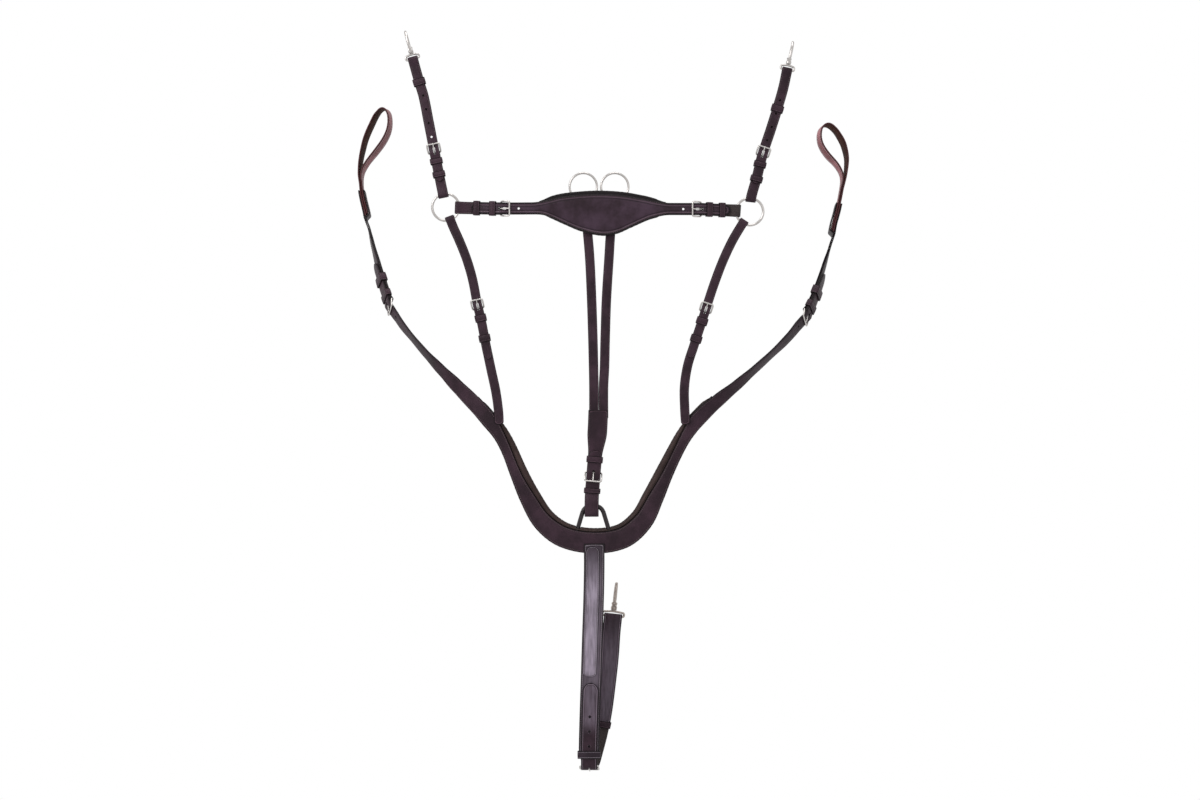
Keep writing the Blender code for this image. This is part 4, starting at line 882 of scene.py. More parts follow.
def snap_hook(name, route, width, length, metal=STEEL):
    """A trigger snap hook: strap eye, turned barrel, tapered hook and a sprung gate with a thumb stud."""
    origin, up, across, out = route.axes(route.length)
    size = length / 60.0
    tip = 0.01 / size
    half_eye = width / 2 + 1.0 + EYE_WIRE / 2

    def side_point(x, z, b=0.0):
        return origin + out * x * size + up * z * size + across * b * size

    neck = (EYE_RISE + 2.0 + EYE_WIRE / 2 + CLEAR) / size
    top = neck + BARREL_LENGTH * 0.75
    outline = [(half_eye, 0), (half_eye, EYE_SIDE), (3.2, EYE_RISE + 2)]
    corners = [(-half_eye, 0)] + outline + [(-b, z) for b, z in outline[:0:-1]]
    eye = wire(rounded([origin + across * b + up * z for b, z in corners], 2.7, 6), EYE_WIRE / 2, closed=True,
               out=out)
    post = turned(origin, up, across, [(tip, (EYE_RISE + 1.4) / size), (1.5, (EYE_RISE + 1.5) / size),
                                       (1.5, top + 0.5), (2.6, top + 0.6), (2.7, top + 1.1), (2.1, top + 1.9),
                                       (tip, top + 2.2)], size=size)
    add_steel(f"{name}_eye", joined([eye, post]), metal=metal)

    bore, outer = 1.9, BARREL_SIZE / 2
    profile = [(bore, neck + 0.15), (outer - 0.9, neck + 0.1), (outer - 0.25, neck + 0.5),
               (outer - 0.05, neck + 1.3), (outer - 0.5, neck + 1.7), (outer - 0.5, neck + 2.1),
               (outer - 0.02, neck + 2.5), (outer - 0.02, top - 2.0), (outer - 0.3, top - 0.7),
               (outer - 1.1, top - 0.1), (bore + 0.2, top - 0.05)]
    lift = top - 20.0

    def tapered(points, pieces, sides):
        spine = eased(points, pieces)
        return wire([side_point(x, z + lift) for x, z, _ in spine], [r * size for *_, r in spine], sides,
                    out=across)

    shapes = [turned(origin, up, across, profile, size=size),
              tapered([(3.4, 15.0, 1.4), (4.4, 17.2, 1.9), (5.6, 20, 2.3), (7.2, 27, 2.9), (7.6, 36, 3.0),
                       (6.3, 46, 2.9), (2.6, 54, 2.6), (-2.0, 56.5, 2.4), (-5.4, 53, 2.1), (-6.8, 47.5, 1.8),
                       (-6.9, 44.2, 1.6)], 5, 16)]
    pivot = (-5.6, 24.6 + lift)
    lug = eased([(-3.2, 15), (-4.9, 15.3), (-6.6, 19.5), (-7.35, 23.6), (-7.0, 26.0), (-5.6, 26.8),
                 (-4.2, 26.0), (-3.7, 22.0), (-3.3, 18.0)], 4, closed=True)
    for b in (2.2, -3.9):
        shapes.append(skin([[side_point(-5.2 + (x + 5.2) * draw, 21 + (z - 21) * draw + lift, b + off)
                             for x, z in lug]
                            for off, draw in ((0.0, 0.86), (0.25, 1.0), (1.45, 1.0), (1.7, 0.86))]))
    for sign in (-1, 1):
        shapes.append(turned(side_point(*pivot, 3.9 * sign), across * sign, out, [
            (tip, -0.1), (1.75, -0.1), (1.75, 0.25), (1.3, 0.6), (0.5, 0.72), (tip, 0.74)], size, 20))
    add_steel(f"{name}_body", joined(shapes), f"{name}_hook", metal)

    lever = tapered([(-5.6, 23.7, 1.5), (-5.9, 26.5, 1.8), (-6.9, 31, 1.7), (-7.05, 35, 1.6),
                     (-6.95, 39, 1.45), (-6.8, 42.4, 1.25)], 4, 14)
    knuckle = turned(side_point(*pivot, -2.05), across, out, [
        (tip, 0.0), (1.55, 0.0), (1.8, 0.2), (1.8, 3.9), (1.55, 4.1), (tip, 4.1)], size, 20)
    stud = turned(side_point(-8.0, 30.0 + lift), out * -1, across, [
        (tip, -0.6), (1.0, -0.6), (1.1, 0.5), (1.5, 0.9), (1.5, 1.3), (1.1, 1.6), (tip, 1.7)], size, 18)
    add_steel(f"{name}_gate", joined([lever, knuckle, stud]), f"{name}_trigger", metal)


def pad(name, route, u_span, edges, thick, node, finish=PADDED, face_edge=None):
    """A padded lining: crowned back, rolled edges that pucker at the seam, and thinned ends.

    face_edge gives the high edge of the leather in front of it, past which the lining shows as a raised roll.
    """
    front, end_ease, end_drop, drop_length = -BILLET_THICK / 2 - CLEAR, 16.0, 1.8, 110.0
    ends = [0.0, 0.6, 1.6, 3.0, 5.0, 8.0, 12.0]
    length = u_span[1] - u_span[0]
    count = ceil(length / 3.2)
    middle = [12.0 + (length - 24.0) * k / count for k in range(count + 1)]
    rows, rims = [], []
    for u in sorted({round(u_span[0] + s, 3) for s in ends + middle + [length - s for s in ends]}):
        low, high = edges(u)
        to_end = min(u - u_span[0], u_span[1] - u)
        room = min(to_end, end_ease) / end_ease
        deep = thick * (0.35 + 0.65 * sqrt(max(room, 0.0)))
        face = front - end_drop * (1 - min(to_end, drop_length) / drop_length)
        squeeze = (high - low) * 0.12 * (1 - room)
        low, high = low + squeeze, high - squeeze
        pucker = 0.16 * sin(2 * pi * u / 7.4) + 0.1 * sin(2 * pi * u / 4.9 + 1.0)
        row = []
        for t, h in ((0.07, 0.0), (0.035, -0.02), (0.012, -0.1), (0.0, -0.24), (0.0, -0.4), (0.012, -0.56),
                     (0.035, -0.7), (0.075, -0.82), (0.13, -0.9), (0.2, -0.945), (0.3, -0.975), (0.4, -0.992),
                     (0.5, -1.0)):
            rolled = pucker * (1 - abs(h + 0.4) / 0.6) * 0.8 if t < 0.08 else 0.0
            row.append((low + t * (high - low) - rolled, face + h * deep))
        row += [(low + high - b, w) for b, w in row[-2::-1]]
        edge = face_edge(u) if face_edge else high
        start = row[-1][0]
        if face_edge:
            row += [(start + (edge - start) * t, face + 1.5 * sin(pi * t) * room)
                    for t in (0.15, 0.35, 0.5, 0.65, 0.85, 1.0)]
            start = edge
        row += [(start + (low - start) * t, face - 0.02) for t in (0.2, 0.35, 0.5, 0.65, 0.8)]
        # Near the roll's two margins the rim distance is small, so the dark edge colour lays painted shade in
        # the gap at the face's edge and on the roll's rounded outer edge.
        rims.append([max(min(high - b, b - edge), 0.0) if face_edge and w > face - deep * 0.2 else 3.5
                     for b, w in row])
        rows.append([route.at(u, b, w) for b, w in row])
    obj = add(name, skin(rows, rims=rims), [finish], ROOT, node, smooth=70)
    return obj


# Where the straps run
LEFT_RING = (-240, 14, 10)
RIGHT_RING = (233, 14, 3)
WITHER = Route([LEFT_RING, (-226, 14, 9.5), (-214, 14, 9), (-185, 10.5, 8), (-154, 5, 7), (-91, 1, 7),
                (-46, 0, 5), (0, 0, 4), (54, 0, 4), (99, 1, 6), (157, 5, 6), (178, 9.5, 5.5), (207, 14, 4.8),
                (219, 14, 4.2),RIGHT_RING])
SADDLE = {
    "left": Route([LEFT_RING, (-245, 14, 34), (-252, 16, 68), (-259, 18, 103), (-267, 20, 143),
                   (-275, 22, 183), (-282, 23, 206), (-292, 24, 242)]),
    "right": Route([RIGHT_RING, (235, 14, 24), (244, 16, 56), (253, 18, 92), (266, 20, 131), (278, 22, 169),
                    (286, 23, 197), (292, 24, 225)]),
}
SHOULDER = {
    "left": Route([LEFT_RING, (-230, 14, -17), (-218, 13, -44), (-207, 12, -72), (-198, 11, -103),
                   (-191, 10, -139), (-184, 9, -169), (-177, 7, -205), (-169, 5.5, -243), (-161.5, 5.0, -278),
                   (-157.3, 4.6, -309), (-156.5, 4.2, -328)]),
    "right": Route([(233.6, 14, 2.4), (219, 14, -20), (205, 13, -44), (191, 12, -74), (178, 11, -108),
                    (166, 10, -144), (158, 9, -169), (146, 7, -205), (136, 5.7, -237), (131, 4.8, -271),
                    (131.5, 4.0, -306), (133, 3.5, -328)]),
}
COLLAR_KNOTS = [
    (-384, 123, 72), (-383, 121, 53), (-381, 120, 37), (-375, 118, 11), (-371, 115, -8), (-363, 108, -42),
    (-352, 97, -80), (-340, 82, -116), (-329, 67, -143), (-315, 54, -167), (-294, 42, -193), (-272, 32, -218),
    (-248, 24, -243), (-223, 17, -268), (-198, 11, -293), (-173, 7, -320), (-155, 5, -343), (-142, 3, -368),
    (-127, 2, -405), (-110, 1, -442), (-88, 0, -478), (-56, 0, -502), (-9, 0, -511), (36, 0, -503),
    (66, 0, -477), (84, 1, -442), (101, 2, -405), (119, 3, -368), (133, 5, -343), (151, 7, -321),
    (181, 13, -293), (212, 20, -268), (241, 28, -243), (269, 37, -218), (295, 48, -193), (312, 58, -173),
    (329, 71, -148), (344, 85, -115), (356, 98, -80), (368, 108, -42), (374, 115, -11), (380, 118, 11),
    (387, 121, 44), (391, 123, 69)]
LEFT_TURN = [(-1, 0.12, 0)] + [(-1, 0, 0)] * 4 + [
    (-0.98, -0.15, 0), (-0.94, -0.32, -0.1), (-0.88, -0.44, -0.16), (-0.87, -0.44, -0.2), (-0.86, -0.4, -0.3),
    (-0.78, -0.38, -0.5), (-0.68, -0.48, -0.58), (-0.55, -0.65, -0.5), (-0.36, -0.87, -0.32),
    (-0.13, -0.98, -0.11)]
RIGHT_TURN = [(-x, y, z) for x, y, z in reversed(LEFT_TURN)]
COLLAR = Route(COLLAR_KNOTS, LEFT_TURN + [FRONT] * (len(COLLAR_KNOTS) - 2 * len(LEFT_TURN)) + RIGHT_TURN)
LOOP = {
    "left": Route(COLLAR_KNOTS[5::-1] + [(-379, 125, 92), (-367, 127, 118), (-354, 129, 145),
                                         (-348.5, 131, 166), (-346.5, 131, 178)],
                  [(-1, 0, 0)] * 5 + [(-1, 0.09, 0), (-1, 0.14, 0)] + [(-1, 0.18, 0)] * 4),
    "right": Route(COLLAR_KNOTS[-5:] + [(387, 125, 92), (377, 127, 113), (369.5, 128, 127), (365, 129, 141),
                                        (363, 130, 152)],
                   [(1, 0, 0)] * 4 + [(1, 0.09, 0), (1, 0.14, 0)] + [(1, 0.18, 0)] * 4),
}
MARTINGALE = Route([(-2, 12, -280), (-4, 11, -337), (-8, 10, -380), (-11, 8, -416), (-12.6, 5.8, -438),
                    (-13, 5.6, -455), (-13, 5.6, -480)])
MARTINGALE_RING = {"left": (-26, 16, 42), "right": (23, 16, 42)}
BRANCH = {
    "left": Route([(-9.5, 12, -318), (-9.5, 12, -270), (-10, 12, -240), (-11, 12, -197), (-13, 13, -134),
                   (-16, 14, -69), (-20, 15, -22),MARTINGALE_RING["left"]]),
    "right": Route([(5.5, 12, -318), (5.5, 12, -270), (7, 12, -240), (8, 12, -197), (10, 13, -134),
                    (14, 14, -69), (17, 15, -22),MARTINGALE_RING["right"]]),
}
BELLY_KNOTS = [(-9, 0, -509), (-9, 0, -554), (-10, 0, -603), (-12, 0, -662), (-14, 0, -727), (-16, 0, -789),
               (-17, 0, -831), (-17, 0, -848)]
REAR_KNOTS = [(-17, 4, -857), (-16.5, 13, -860), (-15, 24, -860), (-12, 34, -855), (-8, 38, -842),
              (0, 38, -811), (7, 37, -775), (12, 35, -730), (15.5, 33, -690), (17.7, 32, -655),
              (20.5, 32, -628)]
BELLY = Route(BELLY_KNOTS + REAR_KNOTS,
              [FRONT] * 8 + [(0, -1, -1), (0, 0, -1), (0, 0.1, -1), (0, 1, -0.8)] + [(0, 1, 0)] * 7)

# O-rings and the wither strap
RING_SEAM = 10.0
BUCKLE_SEAM = 9.0
rings = {"left": Ring("saddle_ring_left", LEFT_RING, RING_BORE, RING_WIRE),
         "right": Ring("saddle_ring_right", RIGHT_RING, RING_BORE, RING_WIRE)}
WITHER_TIP = 46.0
WITHER_HEEL = {"left": (-154, 4, 7), "right": (157, 4, 6)}
WITHER_KEEPERS = {"left": (12.5, 38.0), "right": (12.5, 33.0)}
wither_buckles = []
for side, way in (("left", 1), ("right", -1)):
    buckle = Buckle(f"wither_buckle_{side}", WITHER, WITHER_HEEL[side], way, WITHER_WIDTH)
    cross = rings[side].radius if side == "left" else WITHER.length - rings[side].radius
    strap = Strap(WITHER, buckle.chape_line(cross, rings[side]), WITHER_WIDTH, CHAPE_THICK)
    buckle.add_chape(strap, f"wither_chape_{side}",
                     (cross + way * RING_SEAM, buckle.heel - way * BUCKLE_SEAM), WITHER_KEEPERS[side],
                     KEEPER_LENGTH["wither"])
    wither_buckles.append(buckle)


def wither_law(*pairs):
    """A law along the wither strap, from (x, edge) pairs."""
    return Law(*[(WITHER.nearest((x, 0, 5)), edge) for x, edge in pairs])


def between_billets(buckles, tip, rise=0.0):
    """Side view of a face that runs out into a billet at both ends."""
    left, right = buckles
    return (left.billet_line(tip, rise) + [(left.heel + 30, 0.0), (right.heel - 30, 0.0)]
            + right.billet_line(tip, rise)[::-1])


half = WITHER_WIDTH / 2
bridge_top = wither_law((-106, half), (-92, half + 2), (-62, 20.5), (-30, 25.5), (0, 27.0), (36, 25.0),
                        (70, 18.5), (94, half + 2), (110, half))
bridge_low = wither_law((-100, -half), (-84, -half - 2), (-58, -21), (-28, -32), (8, -38.5), (26, -35),
                        (48, -26), (74, -15), (96, -half - 1), (108, -half))
bridge_step = wither_law((-100, 0.0), (-70, 1.5), (74, 1.5), (100, 0.0))
BRIDGE_PAD = (WITHER.nearest((-96, 0, 7)), WITHER.nearest((101, 0, 6)))
SPARE_HOLE = FRAME_REACH + 14.0
strap = Strap(WITHER, between_billets(wither_buckles, WITHER_TIP),
              lambda u: (bridge_low(u), bridge_top(u) - bridge_step(u)), BILLET_THICK,
              start_tip=12.0, end_tip=12.0)
bridge = leather_strap(strap, "wither_bridge_face", "wither_bridge_stitched", crease=5.2,
                       materials=(BRIDGE_SHEEN_HAVANA, FLESH))
for buckle in wither_buckles:
    buckle.cut_billet(bridge, (SPARE_HOLE,))
sew_span(strap, WITHER.nearest((-100, 0, 6)), WITHER.nearest((104, 0, 6)))
pad("wither_bridge_padding", WITHER, BRIDGE_PAD, lambda u: (bridge_low(u) - 0.8, bridge_top(u) + 4.0), 8.0,
    "wither_bridge_lining")

# Saddle straps with their snap hooks
SADDLE_HEEL = {"left": (-258, 17, 95), "right": (252, 18, 89)}
SADDLE_KEEPERS = {"left": (13.0, 34.0), "right": (13.5, 37.0)}
SADDLE_TIP = 45.0
EYE_FOLD = {"left": 122.0, "right": 118.0}
EYE_SEAM = 10.0
SADDLE_HOLES = [FRAME_REACH + 12.0 + HOLE_PITCH * k for k in range(4)]
SADDLE_HOOK = 49.0
SADDLE_TOP_KEEPER = {"left": (-283, 23, 205), "right": (276, 22, 164)}
for side, route in SADDLE.items():
    ring = rings[side]
    buckle = Buckle(f"saddle_buckle_{side}", route, SADDLE_HEEL[side], 1, SADDLE_WIDTH)
    strap = Strap(route, buckle.chape_line(ring.radius, ring), SADDLE_WIDTH, CHAPE_THICK)
    buckle.add_chape(strap, f"saddle_chape_{side}", (ring.radius + RING_SEAM, buckle.heel - BUCKLE_SEAM),
                     SADDLE_KEEPERS[side], KEEPER_LENGTH["saddle"])
    line = buckle.hooked_line(SADDLE_TIP, 28.0, EYE_FOLD[side])
    strap = Strap(route, line, SADDLE_WIDTH, BILLET_THICK, start_tip=10.0)
    buckle.cut_billet(leather_strap(strap, f"saddle_billet_{side}"), SADDLE_HOLES, deep=-0.05)
    sew_span(strap, route.length - EYE_FOLD[side] + 2, route.length - EYE_SEAM)
    keeper_loop(f"saddle_top_keeper_{side}", route, route.nearest(SADDLE_TOP_KEEPER[side]),
                KEEPER_LENGTH["saddle_top"], SADDLE_WIDTH, layered(BILLET_LAYER))
    snap_hook(f"saddle_hook_{side}", route, SADDLE_WIDTH, SADDLE_HOOK)

# Shoulder straps
SHOULDER_HEEL = {"left": (-189, 10, -149), "right": (164, 10, -153)}
SHOULDER_KEEPERS = {"left": (15.0, 47.0), "right": (15.0, 44.0)}
SHOULDER_TIP = {"left": 80.0, "right": 75.0}
SHOULDER_FOLD = 52.0
for side, route in SHOULDER.items():
    ring = rings[side]
    buckle = Buckle(f"shoulder_buckle_{side}", route, SHOULDER_HEEL[side], -1, SHOULDER_WIDTH)
    reach = route.length - buckle.heel
    strap = Strap(route, buckle.heel_line(near=reach, far=reach - 50.0), SHOULDER_WIDTH, CHAPE_THICK, 4.0)
    buckle.add_chape(strap, f"shoulder_chape_{side}", (buckle.heel + BUCKLE_SEAM, route.length - 3),
                     SHOULDER_KEEPERS[side], KEEPER_LENGTH["shoulder"], materials=(HAVANA, HAVANA))
    ring_fold = fold_line(ring.radius, 1, ring.half_wire, BILLET_THICK, BILLET_LAYER,
                          ring.sink(SHOULDER_WIDTH), SHOULDER_FOLD)
    line = ring_fold[::-1] + [(buckle.heel - 28, BILLET_LAYER)] + buckle.billet_line(SHOULDER_TIP[side])[::-1]
    strap = Strap(route, line, SHOULDER_WIDTH, BILLET_THICK, end_tip=10.0)
    buckle.cut_billet(leather_strap(strap, f"shoulder_billet_{side}"))
    sew_span(strap, ring.radius + RING_SEAM, ring.radius + SHOULDER_FOLD - 2)

# Breast collar, which ends in the girth billets
GIRTH_HEEL = {"left": (-333, 71, -136), "right": (326, 69, -152)}
GIRTH_TIP = 74.0
TIP_RISE = 1.3
GIRTH_FIXED_KEEPER = 13.5
GIRTH_LOOSE_KEEPER = {"left": 44.0, "right": 40.0}
GIRTH_CHAPE_END = {"left": COLLAR.knot_marks[2] - 8.0, "right": COLLAR.knot_marks[-3] + 13.0}
SLEEVE_LENGTH = {"left": 46.0, "right": 52.0}
LOOP_LEG_THICK = 2.6
LOOP_GAP = 0.4
SLEEVE_SPLAY = 2 * LOOP_LEG_THICK + 3 * LOOP_GAP
SLEEVE_LIFT = 2.5
girth_buckles = []
for side, way in (("left", 1), ("right", -1)):
    buckle = Buckle(f"girth_buckle_{side}", COLLAR, GIRTH_HEEL[side], way, GIRTH_WIDTH)
    reach = abs(buckle.heel - GIRTH_CHAPE_END[side])
    seam = reach - SLEEVE_LENGTH[side]
    back = SLEEVE_LIFT - LAYER
    splayed = back - SLEEVE_SPLAY
    front = [(-reach, LAYER + SLEEVE_LIFT), (-seam, LAYER + SLEEVE_LIFT)]
    rear = [(-seam, back), (-seam - 5.0, splayed - 0.6), (4.0 - reach, splayed), (-reach, splayed + 0.6)]
    line = buckle.put(front) + buckle.heel_line(near=seam - 16.0, far=seam - 16.0) + buckle.put(rear)
    buckle.add_chape(Strap(COLLAR, line, GIRTH_WIDTH, CHAPE_THICK), f"girth_chape_{side}",
                     (buckle.heel - way * BUCKLE_SEAM, buckle.heel - way * (reach - 40)),
                     (GIRTH_FIXED_KEEPER,), KEEPER_LENGTH["girth"])
    keeper_loop(f"girth_keeper_{side}_creased", COLLAR, buckle.heel - way * GIRTH_LOOSE_KEEPER[side],
                KEEPER_LENGTH["girth_loose"], GIRTH_WIDTH, buckle.keeper_span(False),
                f"girth_keeper_{side}_sliding", f"girth_keeper_{side}")
    girth_buckles.append(buckle)


def along_collar(*values):
    """A law with a value at each knot from the thirteenth to the middle one, and mirrored past it."""
    middle = len(COLLAR_KNOTS) // 2
    first = middle - len(values) + 1
    return Law(*[(COLLAR.knot_marks[first + i], v) for i, v in enumerate(values)],
               *[(COLLAR.knot_marks[2 * middle - first - i], v) for i, v in enumerate(values[:-1])])


face_width = along_collar(GIRTH_WIDTH, 24.0, 24.0, 24.5, 22.5, 21.5, 23.5, 28.0, 31.5, 33.0, 33.0)
pad_shows = along_collar(0.3, 0.3, 0.5, 1.0, 2.0, 3.2, 4.0, 4.4, 4.8, 5.4, 5.8)
roll = along_collar(0.0, 0.0, 0.0, 1.0, 5.0, 6.3, 6.8, 4.7, 3.0, 1.4, 0.4)
strap = Strap(COLLAR, between_billets(girth_buckles, GIRTH_TIP, TIP_RISE),
              lambda u: (-face_width(u) / 2, face_width(u) / 2 - roll(u)), BILLET_THICK,
              start_tip=14.0, end_tip=14.0)
collar = leather_strap(strap, "breast_collar_face", "breast_collar_stitched")
for buckle in girth_buckles:
    buckle.cut_billet(collar, (SPARE_HOLE,))
sew_span(strap, COLLAR.knot_marks[12], COLLAR.knot_marks[32])
lining = pad("breast_collar_padding", COLLAR, (COLLAR.knot_marks[14], COLLAR.knot_marks[30]),
             lambda u: (-face_width(u) / 2 - 0.8, face_width(u) / 2 + pad_shows(u)), 9.0,
             "breast_collar_lining", COLLAR_LIT_PADDED, lambda u: face_width(u) / 2 - roll(u))

# Chest ring: a steel core with a rolled leather sleeve, held behind the collar
CHEST_DEPTH = 5.6
CHEST_CORNERS = [Vector((x, CHEST_DEPTH, z))
                 for x, z in ((-24, -454), (2.5, -454.5), (18, -506), (-39.5, -506))]
CHEST_BENDS = (12.0, 12.0, 5.0, 5.0)
SLEEVE_SIDES = 20
path = rounded(CHEST_CORNERS, CHEST_BENDS, 8)
add_steel("chest_ring", wire(path, CHEST_CORE / 2, 12, closed=True, out=FRONT))
per_corner = len(path) // 4
path = eased([tuple(p) for p in path[-1:] + path[:2 * per_corner + 1]], 4)
outer, inner = (circles(path, [radius] * len(path), SLEEVE_SIDES, False, FRONT)
                for radius in (CHEST_SLEEVE / 2, CHEST_CORE / 2 + CLEAR))
add("chest_ring_rolled_sleeve", skin(outer + inner[::-1], ring=True), [ROLLED], ROOT,
    "chest_ring_sleeve")
for start, end in ((0, 3), (1, 2), (3, 2)):
    start, end = (CHEST_CORNERS[k] + Vector((0, -0.7, 0)) for k in (start, end))
    past = (end - start).normalized() * CHEST_CORE / 2
    cut(lining, wire([start - past, end + past], CHEST_SLEEVE / 2 + 1.2, 12, out=FRONT))

# Martingale fork: a split strap from two rings down to a buckled tail round the chest ring
FORK_TOP, FORK_SEAM, TRUNK_NARROW = 26.0, 60.0, 98.0
TRUNK_WIDTH = 2 * FORK_WIDTH + FORK_GAP
BRANCH_FOLD = 34.0
TAIL_TIP = 34.0
TAIL_SLACK = 16.0
TAIL_SEAM = 47.0
TAIL_KEEPER = (-11.5, 8, -431)
TAIL_LAYER = BILLET_LAYER + 1.0
buckle = Buckle("martingale_buckle", MARTINGALE, (-10, 9, -402), 1, TAIL_WIDTH)
trunk_width = Law((FORK_TOP, TRUNK_WIDTH), (FORK_SEAM, TRUNK_WIDTH), (TRUNK_NARROW, TAIL_WIDTH))
strap = Strap(MARTINGALE, buckle.heel_line(near=buckle.heel - FORK_TOP, far=34.0), trunk_width,
              CHAPE_THICK)
buckle.add_chape(strap, "martingale_strap", (FORK_TOP + 2, buckle.heel - BUCKLE_SEAM), (20.0,),
                 KEEPER_LENGTH["martingale"], name="martingale_trunk_stitched")
for side, route in BRANCH.items():
    ring = Ring(f"martingale_ring_{side}", MARTINGALE_RING[side], MARTINGALE_BORE, MARTINGALE_WIRE)
    to_ring = route.length - ring.radius
    fold = fold_line(to_ring, -1, ring.half_wire, CHAPE_THICK, LAYER, ring.sink(FORK_WIDTH),
                     BRANCH_FOLD)
    strap = Strap(route, [(0.0, LAYER)] + fold, FORK_WIDTH, CHAPE_THICK)
    leather_strap(strap, name=f"martingale_branch_{side}_stitched")
    sew_span(strap, to_ring - BRANCH_FOLD + 2, to_ring - 8)
tail_turn = MARTINGALE.nearest((-13, CHEST_DEPTH, -464.9))
tail_fold = fold_line(tail_turn, -1, CHEST_SLEEVE / 2 + 3 * CLEAR, BILLET_THICK, TAIL_LAYER, slack=TAIL_SLACK)
behind = Buckle.turn + CHAPE_THICK / 2 + CLEAR + BILLET_THICK / 2
past_keeper = LAYER + CHAPE_THICK / 2 - 0.5 + KEEPER_THICK + 2 * CLEAR + BILLET_THICK / 2
on_trunk = BILLET_THICK / 2 + CLEAR - FOLD_GAP / 2
tail_line = (buckle.billet_line(TAIL_TIP) + tail_fold
             + buckle.put([(10.0, -behind), (-2.0, -behind), (-12.0, -past_keeper), (-32.0, -past_keeper),
                           (2.0 - TAIL_SEAM, -on_trunk), (-TAIL_SEAM - 12.0, -on_trunk)]))
buckle.cut_billet(leather_strap(Strap(MARTINGALE, tail_line, TAIL_WIDTH, BILLET_THICK, start_tip=10.0),
                                "martingale_tail"))
keeper_loop("martingale_tail_keeper", MARTINGALE, MARTINGALE.nearest(TAIL_KEEPER), KEEPER_LENGTH["tail"],
            TAIL_WIDTH, layered(TAIL_LAYER))

# Girth loops, with their feet sewn between the layers at the top of the girth straps
LOOP_HALF_WIDTH = {"left": 15.5, "right": 17.5}
LOOP_FOOT = {"left": 43.0, "right": 49.0}
LOOP_NECK = {"left": 17.0, "right": 35.0}
LOOP_WIDEST = 0.68
RISE = [i / 28 for i in range(1, 29)]
feet_top = LAYER + SLEEVE_LIFT - CHAPE_THICK / 2 - LOOP_GAP
near_leg, far_leg = feet_top - LOOP_LEG_THICK / 2, feet_top - LOOP_GAP - 1.5 * LOOP_LEG_THICK
for side, route in LOOP.items():
    seam = route.nearest(COLLAR.at(GIRTH_CHAPE_END[side]))
    foot, spread, top = seam - LOOP_FOOT[side], seam + LOOP_NECK[side], route.length
    widest = spread + (top - spread) * LOOP_WIDEST
    strands = []
    for leg, half, back in ((near_leg, LOOP_HALF_WIDTH[side], 0.0), (far_leg, -LOOP_HALF_WIDTH[side], 3.0)):
        strands.append([(foot + back, leg), (spread, leg)]
                       + [(spread + (widest - spread) * t, leg + (half - leg) * (1 - cos(pi * t)) / 2)
                          for t in RISE]
                       + [(widest + (top - widest) * sin(t * pi / 2), half * cos(t * pi / 2)) for t in RISE])
    strap = Strap(route, strands[0] + strands[1][-2::-1], GIRTH_WIDTH + 1.0, LOOP_LEG_THICK, step=3.0)
    leather_strap(strap, f"girth_loop_{side}", f"girth_loop_{side}_ribbed", crease=4.5,
                  materials=(LOOP_OUTSIDE, LOOP_INSIDE), slot="brown_loop_leather")

# Belly strap and the strap of the belly snap hook
RIDGE_RISE = 1.2
RIDGE_SHIFT = -2.5
RIDGE_END = 210.0
HOOK_KEEPER = (5, 36, -797)
BELLY_KEEPER = 21.0
HOOK_FOLD = 172.0
HOOK_TIP = 132.0
HOOK_HOLES = [-34.0 - 23.0 * k for k in range(3)]
BELLY_HOOK = 58.0
BELLY_START, RIDGE_START = 3.5, 8.0
buckle = Buckle("belly_buckle", BELLY, (-17, 6, -858), 1, HOOK_STRAP_WIDTH)
on_collar = BILLET_THICK / 2 + CLEAR + CHAPE_THICK / 2
off_collar = [(20.0, on_collar), (34.0, LAYER)]
belly_line = [(BELLY_START, on_collar)] + off_collar + buckle.heel_line(far=70.0)
belly_width = Law((buckle.heel - 30.0, BELLY_WIDTH), (buckle.heel - 10.0, HOOK_STRAP_WIDTH))
strap = Strap(BELLY, belly_line, belly_width, CHAPE_THICK)
buckle.add_chape(strap, "belly_strap", (5.0, buckle.heel - 34.0), (), crease=3.0,
                 materials=(BELLY_HAVANA, FLESH))
sew_across(strap, 2.0)
ridge_line = [(RIDGE_START, on_collar)] + off_collar + [(RIDGE_END, LAYER)]
ridge_edges = (RIDGE_SHIFT - BELLY_RIDGE_WIDTH / 2, RIDGE_SHIFT + BELLY_RIDGE_WIDTH / 2)
strap = Strap(BELLY, [(u, w + RIDGE_RISE) for u, w in ridge_line], lambda u: ridge_edges, 1.6,
              start_tip=10.0, end_tip=6.0)
leather_strap(strap, name="belly_ridge_stitched", materials=(RIDGE_HAVANA, FLESH))
sew(strap, 4.0, strap.length - 3.0)
keeper_loop("belly_keeper", BELLY, buckle.heel - BELLY_KEEPER, KEEPER_LENGTH["belly"], BELLY_WIDTH,
            buckle.keeper_span(True), finish=BELLY_HAVANA)
hook_width = Law((BELLY.nearest(HOOK_KEEPER) + 15.0, HOOK_STRAP_WIDTH), (BELLY.length - 40.0, HOOK_STRAP_TOP))
strap = Strap(BELLY, buckle.hooked_line(HOOK_TIP, 34.0, HOOK_FOLD), hook_width, BILLET_THICK,
              start_tip=13.0)
hook_strap = leather_strap(strap, "belly_hook_strap", crease=3.0, materials=(HOOK_HAVANA, FLESH))
buckle.cut_billet(hook_strap, HOOK_HOLES, deep=Buckle.over - 1.9, high=Buckle.over + 4.0)
sew_span(strap, BELLY.length - HOOK_FOLD + 2, BELLY.length - EYE_SEAM)
keeper_loop("hook_strap_keeper", BELLY, BELLY.nearest(HOOK_KEEPER), KEEPER_LENGTH["hook"],
            HOOK_STRAP_WIDTH, layered(BILLET_LAYER))
snap_hook("belly_hook", BELLY, HOOK_STRAP_TOP, BELLY_HOOK, AGED_STEEL)

stitches("stitching", stitch_rows)

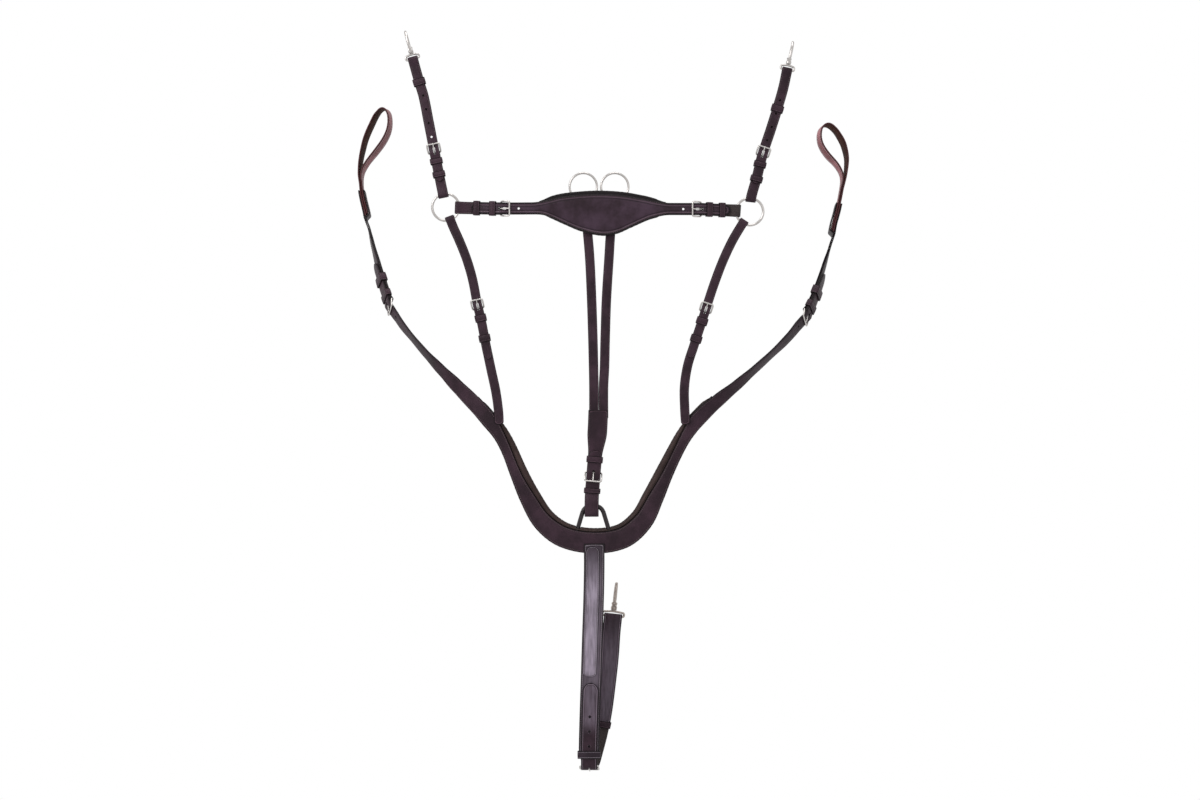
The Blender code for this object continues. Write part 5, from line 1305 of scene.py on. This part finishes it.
# Stage: a pale floor that shows plain white to the camera and in the metal
FLOOR_HALF = 6.0
FLOOR_PLACE = (0, 1.0, -1.3)
WHITE = (1.0, 1.0, 1.0, 1.0)
pale_floor = Finish("pale_floor", base_color=(0.82, 0.82, 0.82, 1.0), roughness=0.9)
glow = pale_floor.node("Emission", {}, {"Color": WHITE, "Strength": 1.0})
pale = Value(pale_floor, pale_floor.shader.outputs[0])
shown = pale_floor.node("MixShader", {}, {0: pale_floor.seen_rays(), 1: pale, 2: glow})
pale_floor.tree.links.new(shown.link, pale_floor.tree.nodes["Material Output"].inputs["Surface"])
mesh = bmesh.new()
bmesh.ops.create_grid(mesh, x_segments=2, y_segments=2, size=FLOOR_HALF)
bmesh.ops.translate(mesh, verts=mesh.verts, vec=FLOOR_PLACE)
floor_plate = in_scene("floor", mesh)
floor_plate.data.materials.append(pale_floor.material)

# The room is brightest towards the upper left of the camera, and shows as plain white
ROOM_BRIGHT = Vector((-0.60, -0.62, 0.50)).normalized()
ROOM_LEVELS = (0.06, 0.90)
world = bpy.data.worlds.new("studio")
bpy.context.scene.world = world
world.use_nodes = True
world.node_tree.nodes.clear()
room = Nodes(world.node_tree)
toward = room.node("VectorMath", {"operation": "DOT_PRODUCT"},
                   {0: room.node("TexCoord", {}, {}, "Generated"), 1: ROOM_BRIGHT}, "Value")
level = room.node("MapRange", {"interpolation_type": "SMOOTHSTEP"},
                  {0: toward, 1: -0.7, 2: 0.9, 3: ROOM_LEVELS[0], 4: ROOM_LEVELS[1]})
lit = room.node("Background", {}, {"Color": (0.95, 0.95, 1.0, 1.0), "Strength": level})
white = room.node("Background", {}, {"Color": WHITE, "Strength": 1.0})
room.node("OutputWorld", {}, {0: room.node("MixShader", {}, {0: room.seen_rays(), 1: lit, 2: white})})


def soft_light(name, place, target, size, power):
    """A square soft box that points at a target."""
    lamp = bpy.data.lights.new(name, "AREA")
    lamp.energy, lamp.size = power, size
    obj = bpy.data.objects.new(name, lamp)
    obj.location = place
    obj.rotation_euler = (Vector(target) - Vector(place)).to_track_quat("-Z", "Y").to_euler()
    bpy.context.collection.objects.link(obj)


soft_light("front_left_light", (-1.5, -1.5, 0.9), (-0.1, 0, -0.3), 1.1, 22.0)
soft_light("front_right_light", (2.4, -2.2, 0.4), (0, 0, -0.3), 1.6, 8.0)
soft_light("top_light", (0.0, -0.6, 2.4), (0, 0, -0.2), 1.4, 26.0)

CAMERA_FIELD = 1.86
CAMERA_BACK = 3.5
CAMERA_HEIGHT = -0.290
SENSOR = 36.0
lens = bpy.data.cameras.new("photo_camera")
lens.sensor_width = SENSOR
lens.lens = SENSOR * CAMERA_BACK / CAMERA_FIELD
camera = bpy.data.objects.new("photo_camera", lens)
camera.location = (0.0, -CAMERA_BACK, CAMERA_HEIGHT)
camera.rotation_euler = (pi / 2, 0.0, 0.0)
bpy.context.collection.objects.link(camera)
bpy.context.scene.camera = camera
bpy.context.scene.view_settings.view_transform = "Standard"
